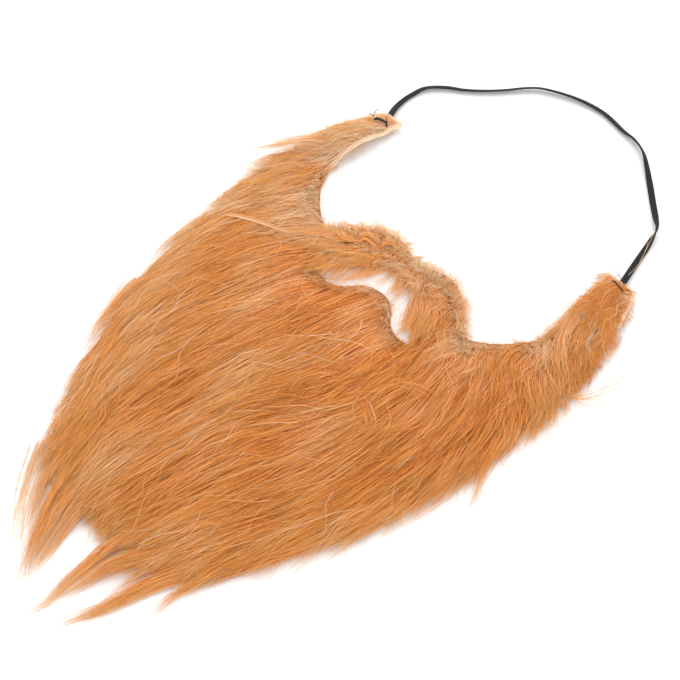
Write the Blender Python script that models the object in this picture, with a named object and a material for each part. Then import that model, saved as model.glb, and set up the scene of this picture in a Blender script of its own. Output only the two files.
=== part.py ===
"""Costume beard of long-pile fur cloth, lying flat as it comes out of its bag, with its elastic band.

Metres, +Z up, resting on Z = 0. -Y is the way the fur hangs, +X the beard's left as its wearer has it on.
The cloth is one cut: chin, cheeks, two sideburn tabs and a moustache over an open mouth.
"""

import math
import random

import bmesh
import bpy
import numpy as np
from mathutils import Vector

# Cloth and pile
CLOTH_THICK = 0.0012
CLEARANCE = 0.0003  # between pieces that touch
PILE_DEEP = 0.0075  # combed flat, over the chin
PILE_THIN = 0.0038  # at the ends of the tabs, where it is sewn down
PILE_LIP = 0.82  # its share of that depth over the moustache
PILE_RIM = 0.46  # and at the cut edge
TAB_FROM = 0.060  # a tab is further out than this, and thins over this stretch
TAB_THINS = (0.120, 0.165)
LIP_FROM_Y = 0.085
PILE_SPREAD = 0.0025  # how far the pile stands out past the cut edge
PILE_EDGE = 0.014  # the pile reaches its full depth this far inside the cut edge
PILE_DROOP = 0.020  # loose ends come down to the table this far outside it
ROOT_DROOP = 0.006
CELL = 0.013  # the cloth bends along lines this far apart
BLANK = (0.290, 0.370)  # the piece it is cut from
FLAT_ENOUGH = math.radians(0.3)  # faces that meet at less are one face

# Elastic, thread and staple
BAND_WIDE = 0.0042
BAND_THICK = 0.0009
BAND_OFF_TABLE = 0.0001
BAND_POINTS = 64
WAY_STEPS = 12  # readings between two points of its way
THREAD = 0.0011  # the turns of thread of one stitch, together
THREAD_HOLE = 0.0020
STAPLE_WIRE = 0.0007
STAPLE_HOLE = 0.0016
STAPLE_CROWN = 0.0127
STAPLE_FOLD = 0.0036
HOLE_LONG = 0.06

# Cut edge, each half measured from the middle line
NOTCH_Y = 0.1120
LOBE = ((0.0100, 0.1160), (0.0200, 0.1185), (0.0300, 0.1160), (0.0405, 0.1090), (0.0490, 0.1000))
INNER_CORNER = (0.0585, 0.0925)
TAB_END_Y = 0.1860
TAB_INNER = (  # y, right, left
    (0.0985, 0.0680, 0.0680),
    (0.1080, 0.0780, 0.0785),
    (0.1195, 0.0865, 0.0865),
    (0.1340, 0.0895, 0.0895),
    (0.1520, 0.0890, 0.0875),
    (0.1700, 0.0875, 0.0845),
    (TAB_END_Y, 0.0860, 0.0825),
)
SIDES = (  # y, right, left
    (TAB_END_Y, 0.1075, 0.0950),
    (0.1800, 0.1100, 0.0990),
    (0.1650, 0.1150, 0.1050),
    (0.1500, 0.1190, 0.1090),
    (0.1300, 0.1220, 0.1135),
    (0.1050, 0.1250, 0.1175),
    (0.0850, 0.1245, 0.1170),
    (0.0550, 0.1210, 0.1130),
    (0.0250, 0.1170, 0.1100),
    (-0.0050, 0.1115, 0.1040),
    (-0.0350, 0.1030, 0.0960),
    (-0.0620, 0.0910, 0.0865),
    (-0.0880, 0.0775, 0.0755),
    (-0.1100, 0.0640, 0.0630),
    (-0.1260, 0.0480, 0.0465),
    (-0.1340, 0.0270, 0.0250),
)
TIP_Y = -0.1350
MOUTH_CORNER = (0.0400, 0.0670)
MOUTH_TOP = ((0.0340, 0.0770), (0.0210, 0.0900), (0.0000, 0.0985))
MOUTH_BOTTOM = ((0.0300, 0.0650), (0.0205, 0.0685), (0.0115, 0.0780), (0.0000, 0.0820))

# The way the fur is combed: a place, and the angle from -Y there in degrees, positive towards +X
COMB_SOFT = 0.009
COMB = (
    (-0.094, 0.180, -28),
    (-0.105, 0.145, -24),
    (-0.112, 0.115, -20),
    (-0.088, 0.112, -6),
    (-0.024, 0.112, -64),
    (-0.046, 0.098, -62),
    (-0.062, 0.078, -46),
    (-0.085, 0.062, -30),
    (-0.066, 0.040, -14),
    (0.000, 0.106, 8),
    (0.000, 0.070, 0),
    (0.016, 0.104, 22),
    (0.036, 0.100, 6),
    (0.060, 0.080, 2),
    (0.092, 0.165, 4),
    (0.108, 0.140, 16),
    (0.112, 0.105, 28),
    (0.098, 0.070, 12),
    (0.114, 0.030, 8),
    (-0.116, 0.060, 2),
    (-0.108, 0.000, 6),
    (-0.096, -0.040, 10),
    (-0.078, -0.080, 20),
    (-0.056, -0.115, 26),
    (-0.028, -0.130, 22),
    (0.000, 0.000, 0),
    (0.000, -0.080, 1),
    (0.108, -0.010, -3),
    (0.094, -0.050, -9),
    (0.074, -0.088, -15),
    (0.046, -0.125, -14),
    (0.010, -0.130, -3),
)
LOCK_SIDES = 6
LOCK_RINGS = 6
LOCK_FLAT = 0.34  # a lock's height over its width
LOCK_ROOT = 0.72  # its width at the root over its widest, which is where it starts to taper
LOCK_TAPER = 0.45
LOCK_POINT = 0.05
LOCK_SUNK = 0.0030  # its root's middle is this far down in the pile
LOCK_BEDDED = 0.0012
LOCK_STAND = 0.0016  # and its middle stands this much over that
LOCK_CLEAR = (-0.014, -0.001)  # past the cut edge it comes down to the table over this stretch
BODY_LOCK = (0.066, 0.0215)  # length, width
BODY_ROWS = (0.050, 0.024, -0.002, -0.028, -0.054, -0.080, -0.102)
BODY_PITCH = 0.031
BODY_INSET = 0.010
BODY_SIZES = (0.85, 1.12)
SCATTER = 0.005
SHORT_WIDE = 0.0130
SHORT_LOCKS = (  # root, length: cheeks, tabs and moustache
    (-0.097, 0.104, 0.036),
    (-0.078, 0.082, 0.036),
    (-0.104, 0.082, 0.034),
    (-0.060, 0.060, 0.036),
    (0.078, 0.088, 0.036),
    (0.104, 0.100, 0.034),
    (0.106, 0.072, 0.034),
    (0.062, 0.062, 0.036),
    (-0.092, 0.168, 0.028),
    (-0.098, 0.148, 0.032),
    (-0.103, 0.126, 0.032),
    (0.097, 0.168, 0.028),
    (0.100, 0.134, 0.034),
    (0.112, 0.124, 0.030),
    (0.001, 0.110, 0.018),
    (-0.022, 0.111, 0.026),
    (0.015, 0.111, 0.020),
    (0.030, 0.110, 0.030),
)
PLACED_LOCKS = (  # root, middle and tip, width: over the ends of the mouth, then past the cut edge
    (-0.0300, 0.1000, -0.0370, 0.0820, -0.0440, 0.0610, 0.0110),
    (-0.0440, 0.0990, -0.0540, 0.0800, -0.0600, 0.0600, 0.0110),
    (0.0330, 0.0960, 0.0350, 0.0780, 0.0350, 0.0570, 0.0110),
    (0.0460, 0.0960, 0.0500, 0.0760, 0.0510, 0.0560, 0.0120),
    (-0.1050, 0.1300, -0.1190, 0.1160, -0.1330, 0.1050, 0.0110),
    (0.1130, 0.1180, 0.1240, 0.1060, 0.1310, 0.0960, 0.0100),
    (-0.1090, 0.0700, -0.1130, 0.0420, -0.1110, 0.0100, 0.0110),
    (-0.1030, 0.0200, -0.1030, -0.0100, -0.0970, -0.0440, 0.0120),
    (-0.0950, -0.0260, -0.0925, -0.0560, -0.0850, -0.0840, 0.0120),
    (-0.0840, -0.0620, -0.0790, -0.0910, -0.0660, -0.1180, 0.0120),
    (-0.0660, -0.0880, -0.0560, -0.1280, -0.0400, -0.1570, 0.0110),
    (-0.0520, -0.1000, -0.0420, -0.1380, -0.0250, -0.1640, 0.0100),
    (-0.0300, -0.1100, -0.0200, -0.1500, -0.0030, -0.1890, 0.0170),
    (-0.0180, -0.1120, -0.0140, -0.1420, -0.0060, -0.1760, 0.0120),
    (0.0010, -0.1080, 0.0010, -0.1240, 0.0020, -0.1420, 0.0130),
    (0.0150, -0.1080, 0.0145, -0.1500, 0.0130, -0.1880, 0.0100),
    (0.0300, -0.1100, 0.0230, -0.1550, 0.0168, -0.1895, 0.0120),
    (0.0480, -0.1020, 0.0430, -0.1440, 0.0330, -0.1840, 0.0160),
    (0.0700, -0.0880, 0.0620, -0.1240, 0.0590, -0.1560, 0.0110),
    (0.0830, -0.0620, 0.0780, -0.0880, 0.0700, -0.1150, 0.0120),
    (0.0980, -0.0240, 0.0960, -0.0500, 0.0900, -0.0760, 0.0120),
    (0.1100, 0.0160, 0.1110, -0.0080, 0.1090, -0.0340, 0.0120),
    (0.1150, 0.0620, 0.1200, 0.0420, 0.1200, 0.0190, 0.0110),
)

# How the cloth lies: it is flat but for its two tabs
LIFT_FROM = 0.122
LIFT_TO = 0.166
LIFT_END = 0.0038
ARCH_Y = 0.148
ARCH_HALF = 0.026
ARCH_LEFT = 0.0052
ARCH_RIGHT = 0.0012

# Stitches: middle and half width of the loop over the band
STITCH_LEFT = (-0.0920, 0.1760, 0.0046, 12)
STITCH_RIGHT = (0.0975, 0.1810, 0.0052, -12)
STITCH_DIMPLE = 0.0012
STITCH_SLACK = 0.0008
STITCH_ROUND = 0.0007
STAPLE_AT = (0.1113, 0.1390)
STAPLE_TURN = 13.0

# The band's way round: x, y, height over the table, and how far it leans over towards the face, in degrees
BAND_WAY = (
    (-0.0905, 0.1680, None, 0),
    (-0.0915, 0.1765, None, 0),
    (-0.0940, 0.1860, None, 0),
    (-0.0972, 0.1945, 0.0010, 6),
    (-0.0986, 0.2035, 0.0002, 12),
    (-0.0981, 0.2125, 0.0000, 14),
    (-0.0954, 0.2220, 0.0004, 24),
    (-0.0866, 0.2315, 0.0004, 22),
    (-0.0766, 0.2385, 0.0000, 30),
    (-0.0664, 0.2475, 0.0000, 34),
    (-0.0571, 0.2578, 0.0000, 36),
    (-0.0491, 0.2676, 0.0004, 36),
    (-0.0396, 0.2756, 0.0006, 35),
    (-0.0196, 0.2840, 0.0004, 28),
    (0.0000, 0.2870, 0.0000, 22),
    (0.0196, 0.2836, 0.0000, 28),
    (0.0296, 0.2821, 0.0006, 42),
    (0.0405, 0.2772, 0.0010, 52),
    (0.0500, 0.2693, 0.0006, 26),
    (0.0600, 0.2601, 0.0000, 8),
    (0.0697, 0.2506, 0.0000, 6),
    (0.0790, 0.2415, 0.0003, 16),
    (0.0850, 0.2345, 0.0006, 70),
    (0.0876, 0.2270, 0.0005, 134),
    (0.0895, 0.2190, 0.0000, 168),
    (0.0916, 0.2090, 0.0002, 174),
    (0.0940, 0.1985, 0.0010, 178),
    (0.0962, 0.1900, None, 180),
    (0.0978, 0.1830, None, 180),
    (0.0990, 0.1745, None, 180),
)

COLOURS = {  # base colour, roughness, metallic
    "backing_cloth": ((0.78, 0.56, 0.36), 0.90, 0.0),
    "ginger_pile": ((0.70, 0.29, 0.07), 0.55, 0.0),
    "black_elastic": ((0.015, 0.015, 0.017), 0.60, 0.0),
    "black_thread": ((0.010, 0.009, 0.009), 0.50, 0.0),
    "staple_steel": ((0.62, 0.61, 0.60), 0.28, 1.0),
}


def clear_scene():
    for old in list(bpy.data.objects):
        bpy.data.objects.remove(old)


def collection(name):
    made = bpy.data.collections.new(name)
    bpy.context.scene.collection.children.link(made)
    return made


def material(name):
    colour, rough, metal = COLOURS[name]
    made = bpy.data.materials.new(name)
    made.use_nodes = True
    shader = made.node_tree.nodes["Principled BSDF"]
    shader.inputs["Base Color"].default_value = (*colour, 1.0)
    shader.inputs["Roughness"].default_value = rough
    shader.inputs["Metallic"].default_value = metal
    return made


def place(name, data, home, finish=None):
    made = bpy.data.objects.new(name, data)
    home.objects.link(made)
    if finish:
        data.materials.append(material(finish))
    return made


def as_cutter(obj):
    obj.hide_render = True
    obj.display_type = "WIRE"
    return obj


def mesh_of(obj):
    """The object's shape with its modifiers, as a mesh whose caps are joined to its sides."""
    bpy.context.view_layer.update()
    shape = obj.evaluated_get(bpy.context.evaluated_depsgraph_get())
    mesh = bpy.data.meshes.new_from_object(shape)
    mesh.transform(obj.matrix_world)
    work = bmesh.new()
    work.from_mesh(mesh)
    bmesh.ops.remove_doubles(work, verts=work.verts, dist=0.00001)
    bmesh.ops.recalc_face_normals(work, faces=work.faces)
    work.to_mesh(mesh)
    work.free()
    return mesh


def smoothstep(low, high, value):
    t = np.clip((value - low) / (high - low), 0.0, 1.0)
    return t * t * (3.0 - 2.0 * t)


# The cut of the cloth


def bezier(curve, points, corners):
    """A closed outline through the points, smooth but at its corners."""
    spline = curve.splines.new("BEZIER")
    spline.bezier_points.add(len(points) - 1)
    spline.use_cyclic_u = True
    for knot, (x, y) in zip(spline.bezier_points, points):
        knot.co = (x, y, 0.0)
        kind = "VECTOR" if (x, y) in corners else "AUTO"
        knot.handle_left_type = knot.handle_right_type = kind


def side_outline(sign, column):
    """One side from the notch out round the tab and down to the tip, as points and which are corners."""
    inner = [(row[column], row[0]) for row in TAB_INNER]
    outer = [(row[column], row[0]) for row in SIDES]
    points = [*LOBE, INNER_CORNER, *inner, *outer]
    corners = [INNER_CORNER, inner[-1], outer[0]]
    return [(sign * x, y) for x, y in points], [(sign * x, y) for x, y in corners]


def cut_curve(name, home):
    """The flat cut as a filled curve."""
    right, right_corners = side_outline(1.0, 1)
    left, left_corners = side_outline(-1.0, 2)
    curve = bpy.data.curves.new(name, "CURVE")
    curve.dimensions = "2D"
    curve.fill_mode = "BOTH"
    curve.resolution_u = 3
    outline = [(0.0, NOTCH_Y), *right, (0.0, TIP_Y), *reversed(left)]
    bezier(curve, outline, [(0.0, NOTCH_Y), *right_corners, *left_corners])
    top = [(-x, y) for x, y in MOUTH_TOP[:-1]] + [(x, y) for x, y in reversed(MOUTH_TOP)]
    bottom = [(x, y) for x, y in MOUTH_BOTTOM] + [(-x, y) for x, y in reversed(MOUTH_BOTTOM[:-1])]
    corner_left = (-MOUTH_CORNER[0], MOUTH_CORNER[1])
    bezier(curve, [corner_left, *top, MOUTH_CORNER, *bottom], [corner_left, MOUTH_CORNER])
    curve.extrude = BLANK[0]
    return place(name, curve, home)


def edge_points(curve_object):
    """The cut edge as short straight pieces: their ends, in pairs."""
    curve = curve_object.data.copy()
    curve.extrude = 0.0
    curve.fill_mode = "NONE"
    bare = bpy.data.objects.new("bare_edge", curve)
    mesh = bpy.data.meshes.new_from_object(bare)
    ends = np.array([[mesh.vertices[i].co[:2] for i in edge.vertices] for edge in mesh.edges])
    bpy.data.objects.remove(bare)
    return ends


class Cut:
    """How far a point is inside the cut edge, below zero outside it."""

    def __init__(self, curve_object):
        self.ends = edge_points(curve_object)

    def inside(self, x, y):
        a, b = self.ends[:, 0], self.ends[:, 1]
        along = b - a
        point = np.array((x, y))
        t = np.clip(((point - a) * along).sum(1) / (along * along).sum(1), 0.0, 1.0)
        far = np.hypot(*(point - a - t[:, None] * along).T).min()
        crossing = (a[:, 1] > y) != (b[:, 1] > y)
        rise = np.where(crossing, along[:, 1], 1.0)
        hits = crossing & (x < a[:, 0] + (y - a[:, 1]) / rise * along[:, 0])
        return far if hits.sum() % 2 else -far

    def pile_top(self, x, y):
        """Height of the pile over the table, down to the table past the cut edge."""
        inside = self.inside(x, y)
        root = pile_root(x, y) * float(smoothstep(-ROOT_DROOP, 0.0, inside))
        return root + pile_depth(x, y, inside)


# How it lies


def lift(x, y):
    """Height of the cloth's underside over the table."""
    if abs(x) < INNER_CORNER[0] or y < LIFT_FROM - ARCH_HALF:
        return 0.0
    rise = LIFT_END * float(smoothstep(LIFT_FROM, LIFT_TO, y))
    arch = max(0.0, 1.0 - ((y - ARCH_Y) / ARCH_HALF) ** 2) ** 2
    return rise + arch * (ARCH_LEFT if x < 0 else ARCH_RIGHT)


def cloth_top(x, y):
    return lift(x, y) + CLOTH_THICK


def pile_root(x, y):
    return cloth_top(x, y) + CLEARANCE


def pile_depth(x, y, inside):
    """Depth of the combed pile over the cloth."""
    tab = float(smoothstep(*TAB_THINS, y)) if abs(x) > TAB_FROM else 0.0
    full = PILE_DEEP + (PILE_THIN - PILE_DEEP) * tab
    if y > LIP_FROM_Y and abs(x) < INNER_CORNER[0]:
        full *= PILE_LIP
    for middle_x, middle_y, half, _ in (STITCH_LEFT, STITCH_RIGHT):
        near = math.hypot(x - middle_x, y - middle_y)
        full -= STITCH_DIMPLE * max(0.0, 1.0 - near / (2.0 * half))
    outside = float(smoothstep(-PILE_DROOP, 0.0, inside))
    return full * (PILE_RIM * outside + (1.0 - PILE_RIM) * float(smoothstep(0.0, PILE_EDGE, inside)))


def comb_angle(x, y):
    """Angle of the fur from -Y at a place, in radians."""
    total = weight = 0.0
    for knot_x, knot_y, degrees in COMB:
        near = ((x - knot_x) ** 2 + (y - knot_y) ** 2 + COMB_SOFT**2) ** -1.5
        total += near * degrees
        weight += near
    return math.radians(total / weight)


# Cloth and pile


def flat_cut(home, outline):
    """The cut as one flat layer of triangles, with lines to bend along."""
    wide, tall = BLANK
    half_deep = 0.01
    mesh = bpy.data.meshes.new("flat_cut")
    work = bmesh.new()
    bmesh.ops.create_grid(work, x_segments=round(wide / CELL), y_segments=round(tall / CELL), size=0.5)
    bmesh.ops.scale(work, vec=(wide, tall, 1.0), verts=work.verts)
    bmesh.ops.translate(work, vec=(0.0, (TAB_END_Y + TIP_Y) / 2, -half_deep), verts=work.verts)
    raised = bmesh.ops.extrude_face_region(work, geom=work.faces[:])["geom"]
    top = [v for v in raised if isinstance(v, bmesh.types.BMVert)]
    bmesh.ops.translate(work, vec=(0.0, 0.0, 2 * half_deep), verts=top)
    bmesh.ops.recalc_face_normals(work, faces=work.faces)
    work.to_mesh(mesh)
    blank = place("blank", mesh, home)
    cutter = place("blank_cutter", mesh_of(outline), home)
    trim = blank.modifiers.new("trim", "BOOLEAN")
    trim.operation = "INTERSECT"
    trim.object = cutter
    work.clear()
    work.from_mesh(mesh_of(blank))
    bpy.data.objects.remove(blank)
    bpy.data.objects.remove(cutter)
    unwanted = [face for face in work.faces if face.normal.z < 0.5]
    bmesh.ops.delete(work, geom=unwanted, context="FACES")
    bmesh.ops.remove_doubles(work, verts=work.verts, dist=0.0001)
    bmesh.ops.triangulate(work, faces=work.faces)
    work.to_mesh(mesh)
    work.free()
    return mesh


def slab(name, parts, flat, under, over, spread, finish):
    """The flat cut raised into a closed slab between two heights, its upper edge standing out by spread."""
    mesh = bpy.data.meshes.new(name)
    work = bmesh.new()
    work.from_mesh(flat)
    outward = work.verts.layers.float_vector.new("outward")
    for edge in work.edges:
        if edge.is_boundary:
            loop = edge.link_loops[0]
            along = (loop.link_loop_next.vert.co - loop.vert.co).normalized()
            for vertex in edge.verts:
                vertex[outward] = vertex[outward] + Vector((along.y, -along.x, 0.0))
    raised = bmesh.ops.extrude_face_region(work, geom=work.faces[:], use_keep_orig=True)["geom"]
    upper = {v for v in raised if isinstance(v, bmesh.types.BMVert)}
    for vertex in work.verts:
        x, y = vertex.co[:2]
        vertex.co.z = over(x, y) if vertex in upper else under(x, y)
        if vertex in upper and vertex[outward].length > 0:
            vertex.co += vertex[outward].normalized() * spread
    bmesh.ops.recalc_face_normals(work, faces=work.faces)
    bmesh.ops.dissolve_limit(work, angle_limit=FLAT_ENOUGH, verts=work.verts, edges=work.edges)
    bmesh.ops.triangulate(work, faces=work.faces)
    work.to_mesh(mesh)
    work.free()
    return place(name, mesh, parts, finish)


def lock_profile(home):
    """A lock's flattened section, one metre wide, for the curves to carry at their own radius."""
    curve = bpy.data.curves.new("lock_profile", "CURVE")
    spline = curve.splines.new("POLY")
    spline.points.add(LOCK_SIDES - 1)
    spline.use_cyclic_u = True
    for i, point in enumerate(spline.points):
        turn = math.tau * (i + 0.5) / LOCK_SIDES
        point.co = (0.5 * math.cos(turn), 0.5 * LOCK_FLAT * math.sin(turn), 0.0, 1.0)
    return as_cutter(place("lock_profile", curve, home))


def lock_width(t):
    """A lock's width along it, as a share of its widest: nearly full at its root, then drawn to a point."""
    if t < LOCK_TAPER:
        return LOCK_ROOT + (1.0 - LOCK_ROOT) * math.sin(math.pi / 2 * t / LOCK_TAPER)
    return max(LOCK_POINT, 1.0 - ((t - LOCK_TAPER) / (1.0 - LOCK_TAPER)) ** 1.5)


def combed_way(root, length):
    """Points of a lock that follows the comb from its root."""
    x, y = root
    step = length / (LOCK_RINGS - 1)
    way = [(x, y)]
    for _ in range(LOCK_RINGS - 1):
        turn = comb_angle(x, y)
        x += step * math.sin(turn)
        y -= step * math.cos(turn)
        way.append((x, y))
    return way


def placed_way(root, middle, tip):
    """Points of a lock that bends from its root through a middle point to its tip."""
    root, middle, tip = Vector(root), Vector(middle), Vector(tip)
    handle = 2 * middle - (root + tip) / 2
    shares = [i / (LOCK_RINGS - 1) for i in range(LOCK_RINGS)]
    return [tuple(root * (1 - t) ** 2 + handle * 2 * t * (1 - t) + tip * t * t) for t in shares]


def lock(name, home, profile, cut, way, width):
    """One tapered lock along its way, bedded in the pile and coming down to the table past the cut edge."""
    curve = bpy.data.curves.new(name, "CURVE")
    curve.dimensions = "3D"
    curve.twist_mode = "Z_UP"
    curve.bevel_mode = "OBJECT"
    curve.bevel_object = profile
    curve.use_fill_caps = True
    spline = curve.splines.new("POLY")
    spline.points.add(LOCK_RINGS - 1)
    for i, (x, y) in enumerate(way):
        t = i / (LOCK_RINGS - 1)
        wide = width * lock_width(t)
        half_deep = LOCK_FLAT * wide / 2
        sunk = LOCK_SUNK if t == 0 else half_deep / 2 + LOCK_BEDDED
        wanted = cut.pile_top(x, y) - sunk + LOCK_STAND * math.sin(math.pi * t)
        lowest = pile_root(x, y) * float(smoothstep(*LOCK_CLEAR, cut.inside(x, y)))
        spline.points[i].co = (x, y, max(wanted, lowest + half_deep + CLEARANCE), 1.0)
        spline.points[i].radius = wide
    return place(name, curve, home)


def all_locks(home, profile, cut):
    """Every lock: in rows down the chin, then by table."""
    jitter = random.Random(7)
    length, width = BODY_LOCK
    made = []
    for row, y in enumerate(BODY_ROWS):
        reach = math.ceil(BLANK[0] / 2 / BODY_PITCH)
        for i in range(-reach, reach + 1):
            root_x = (i + 0.5 * (row % 2)) * BODY_PITCH + jitter.uniform(-SCATTER, SCATTER)
            root = (root_x, y + jitter.uniform(-SCATTER, SCATTER))
            size = jitter.uniform(*BODY_SIZES)
            if cut.inside(*root) > BODY_INSET:
                way = combed_way(root, length * size)
                made.append(lock(f"body_lock_{len(made)}", home, profile, cut, way, width * size))
    for x, y, length in SHORT_LOCKS:
        way = combed_way((x, y), length)
        made.append(lock(f"short_lock_{len(made)}", home, profile, cut, way, SHORT_WIDE))
    for *way, width in PLACED_LOCKS:
        way = placed_way(way[0:2], way[2:4], way[4:6])
        made.append(lock(f"placed_lock_{len(made)}", home, profile, cut, way, width))
    return made


def fuse_locks(pile, locks, home):
    """The locks become closed meshes and one Boolean union joins them all to the pile."""
    group = bpy.data.collections.new("locks")
    home.children.link(group)
    for one in locks:
        group.objects.link(as_cutter(bpy.data.objects.new(one.name + "_solid", mesh_of(one))))
        bpy.data.objects.remove(one)
    union = pile.modifiers.new("locks", "BOOLEAN")
    union.operation = "UNION"
    union.operand_type = "COLLECTION"
    union.collection = group


def drill(pieces, home, name, x, y, wide):
    """A hole for thread or wire down through the pile and the cloth."""
    bpy.ops.mesh.primitive_cylinder_add(vertices=8, radius=wide / 2, depth=HOLE_LONG, location=(x, y, 0.0))
    hole = bpy.context.object
    hole.name = name
    for owner in list(hole.users_collection):
        owner.objects.unlink(hole)
    home.objects.link(as_cutter(hole))
    for piece in pieces:
        cut = piece.modifiers.new(name, "BOOLEAN")
        cut.operation = "DIFFERENCE"
        cut.object = hole


# Band, stitches and staple


def smooth_way(rows, count):
    """Points evenly spaced along a Catmull-Rom curve through the rows."""
    rows = np.array(rows, float)
    ends = np.vstack([2 * rows[0] - rows[1], rows, 2 * rows[-1] - rows[-2]])
    fine = []
    for i in range(1, len(ends) - 2):
        a, b, c, d = ends[i - 1 : i + 3]
        for t in np.linspace(0.0, 1.0, WAY_STEPS, endpoint=False):
            bend = (2 * a - 5 * b + 4 * c - d) * t**2 + (3 * b - a - 3 * c + d) * t**3
            fine.append(b + 0.5 * ((c - a) * t + bend))
    fine = np.array([*fine, rows[-1]])
    along = np.concatenate([[0.0], np.cumsum(np.linalg.norm(np.diff(fine[:, :3], axis=0), axis=1))])
    at = np.linspace(0.0, along[-1], count)
    return np.stack([np.interp(at, along, column) for column in fine.T], axis=1)


def band_height(x, y, rise, lean):
    if rise is None:
        return lift(x, y) - CLEARANCE - BAND_THICK / 2
    turn = math.radians(lean)
    half = BAND_WIDE / 2 * abs(math.sin(turn)) + BAND_THICK / 2 * abs(math.cos(turn))
    return rise + half + BAND_OFF_TABLE


def elastic(parts):
    rows = [(x, y, band_height(x, y, rise, lean), lean) for x, y, rise, lean in BAND_WAY]
    curve = bpy.data.curves.new("elastic_band", "CURVE")
    curve.dimensions = "3D"
    curve.twist_mode = "Z_UP"
    curve.use_fill_caps = True
    curve.extrude = (BAND_WIDE - BAND_THICK) / 2
    curve.bevel_depth = BAND_THICK / 2
    curve.bevel_resolution = 2
    way = smooth_way(rows, BAND_POINTS)
    spline = curve.splines.new("POLY")
    spline.points.add(len(way) - 1)
    for point, (x, y, z, lean) in zip(spline.points, way):
        point.co = (x, y, z, 1.0)
        point.tilt = math.radians(90.0 - lean)
    return place("elastic_band", curve, parts, "black_elastic")


def stitch(parts, cutters, furs, cut, name, middle_x, middle_y, half, turn):
    """A loop of thread over the pile, down through two holes and under the band."""
    over = cut.pile_top(middle_x, middle_y) + CLEARANCE + THREAD / 2 + STITCH_SLACK
    under = lift(middle_x, middle_y) - CLEARANCE - BAND_THICK - CLEARANCE - THREAD / 2
    curve = bpy.data.curves.new(name, "CURVE")
    curve.dimensions = "3D"
    curve.bevel_depth = THREAD / 2
    curve.bevel_resolution = 1
    spline = curve.splines.new("POLY")
    corners = [(-half, under), (half, under), (half, over), (-half, over)]
    points = []
    for i, corner in enumerate(corners):
        here = Vector(corner)
        for other in (corners[i - 1], corners[(i + 1) % 4]):
            points.append(here + (Vector(other) - here).normalized() * STITCH_ROUND)
    spline.points.add(len(points) - 1)
    spline.use_cyclic_u = True
    ahead_x, ahead_y = math.cos(math.radians(turn)), math.sin(math.radians(turn))
    for point, (along, z) in zip(spline.points, points):
        point.co = (middle_x + along * ahead_x, middle_y + along * ahead_y, z, 1.0)
    for side in (-half, half):
        hole = f"{name}_hole_{'right' if side < 0 else 'left'}"
        drill(furs, cutters, hole, middle_x + side * ahead_x, middle_y + side * ahead_y, THREAD_HOLE)
    return place(name, curve, parts, "black_thread")


def staple(parts, cutters, furs, cut):
    """A wire staple through the right tab: crown on the pile, legs folded in under the cloth."""
    middle_x, middle_y = STAPLE_AT
    turn = math.radians(STAPLE_TURN)
    half = STAPLE_CROWN / 2
    ahead = Vector((-math.sin(turn), math.cos(turn)))
    places = [Vector((middle_x, middle_y)) + ahead * s for s in (-half, half)]
    crown = max(cut.pile_top(*p) for p in (*places, STAPLE_AT)) + CLEARANCE + STAPLE_WIRE / 2 + STITCH_SLACK
    floor = [lift(*p) - CLEARANCE - STAPLE_WIRE / 2 for p in places]
    folded = [places[0] + ahead * STAPLE_FOLD, places[1] - ahead * STAPLE_FOLD]
    ends = [min(low, lift(*p) - CLEARANCE - STAPLE_WIRE / 2) for low, p in zip(floor, folded)]
    way = [
        (*folded[0], ends[0]),
        (*places[0], floor[0]),
        (*places[0], crown),
        (*places[1], crown),
        (*places[1], floor[1]),
        (*folded[1], ends[1]),
    ]
    curve = bpy.data.curves.new("tab_staple", "CURVE")
    curve.dimensions = "3D"
    curve.bevel_depth = STAPLE_WIRE / 2
    curve.bevel_resolution = 1
    curve.use_fill_caps = True
    spline = curve.splines.new("POLY")
    spline.points.add(len(way) - 1)
    for point, co in zip(spline.points, way):
        point.co = (*co, 1.0)
    for i, spot in enumerate(places):
        drill(furs, cutters, f"staple_hole_{i}", *spot, STAPLE_HOLE)
    return place("tab_staple", curve, parts, "staple_steel")


def main():
    clear_scene()
    parts = collection("costume_beard")
    cutters = collection("cutters")
    outline = as_cutter(cut_curve("cut_outline", cutters))
    cut = Cut(outline)
    flat = flat_cut(cutters, outline)
    cloth = slab("fur_backing", parts, flat, lift, cloth_top, 0.0, "backing_cloth")
    pile = slab("fur_pile", parts, flat, pile_root, cut.pile_top, PILE_SPREAD, "ginger_pile")
    profile = lock_profile(cutters)
    fuse_locks(pile, all_locks(cutters, profile, cut), cutters)
    furs = (cloth, pile)
    elastic(parts)
    stitch(parts, cutters, furs, cut, "stitch_left", *STITCH_LEFT)
    stitch(parts, cutters, furs, cut, "stitch_right", *STITCH_RIGHT)
    staple(parts, cutters, furs, cut)
    for guide in (outline, profile):
        bpy.data.objects.remove(guide)


main()
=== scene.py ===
import math

import bpy
import numpy as np
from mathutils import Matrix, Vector
from mathutils.bvhtree import BVHTree
from mathutils.kdtree import KDTree


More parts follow.
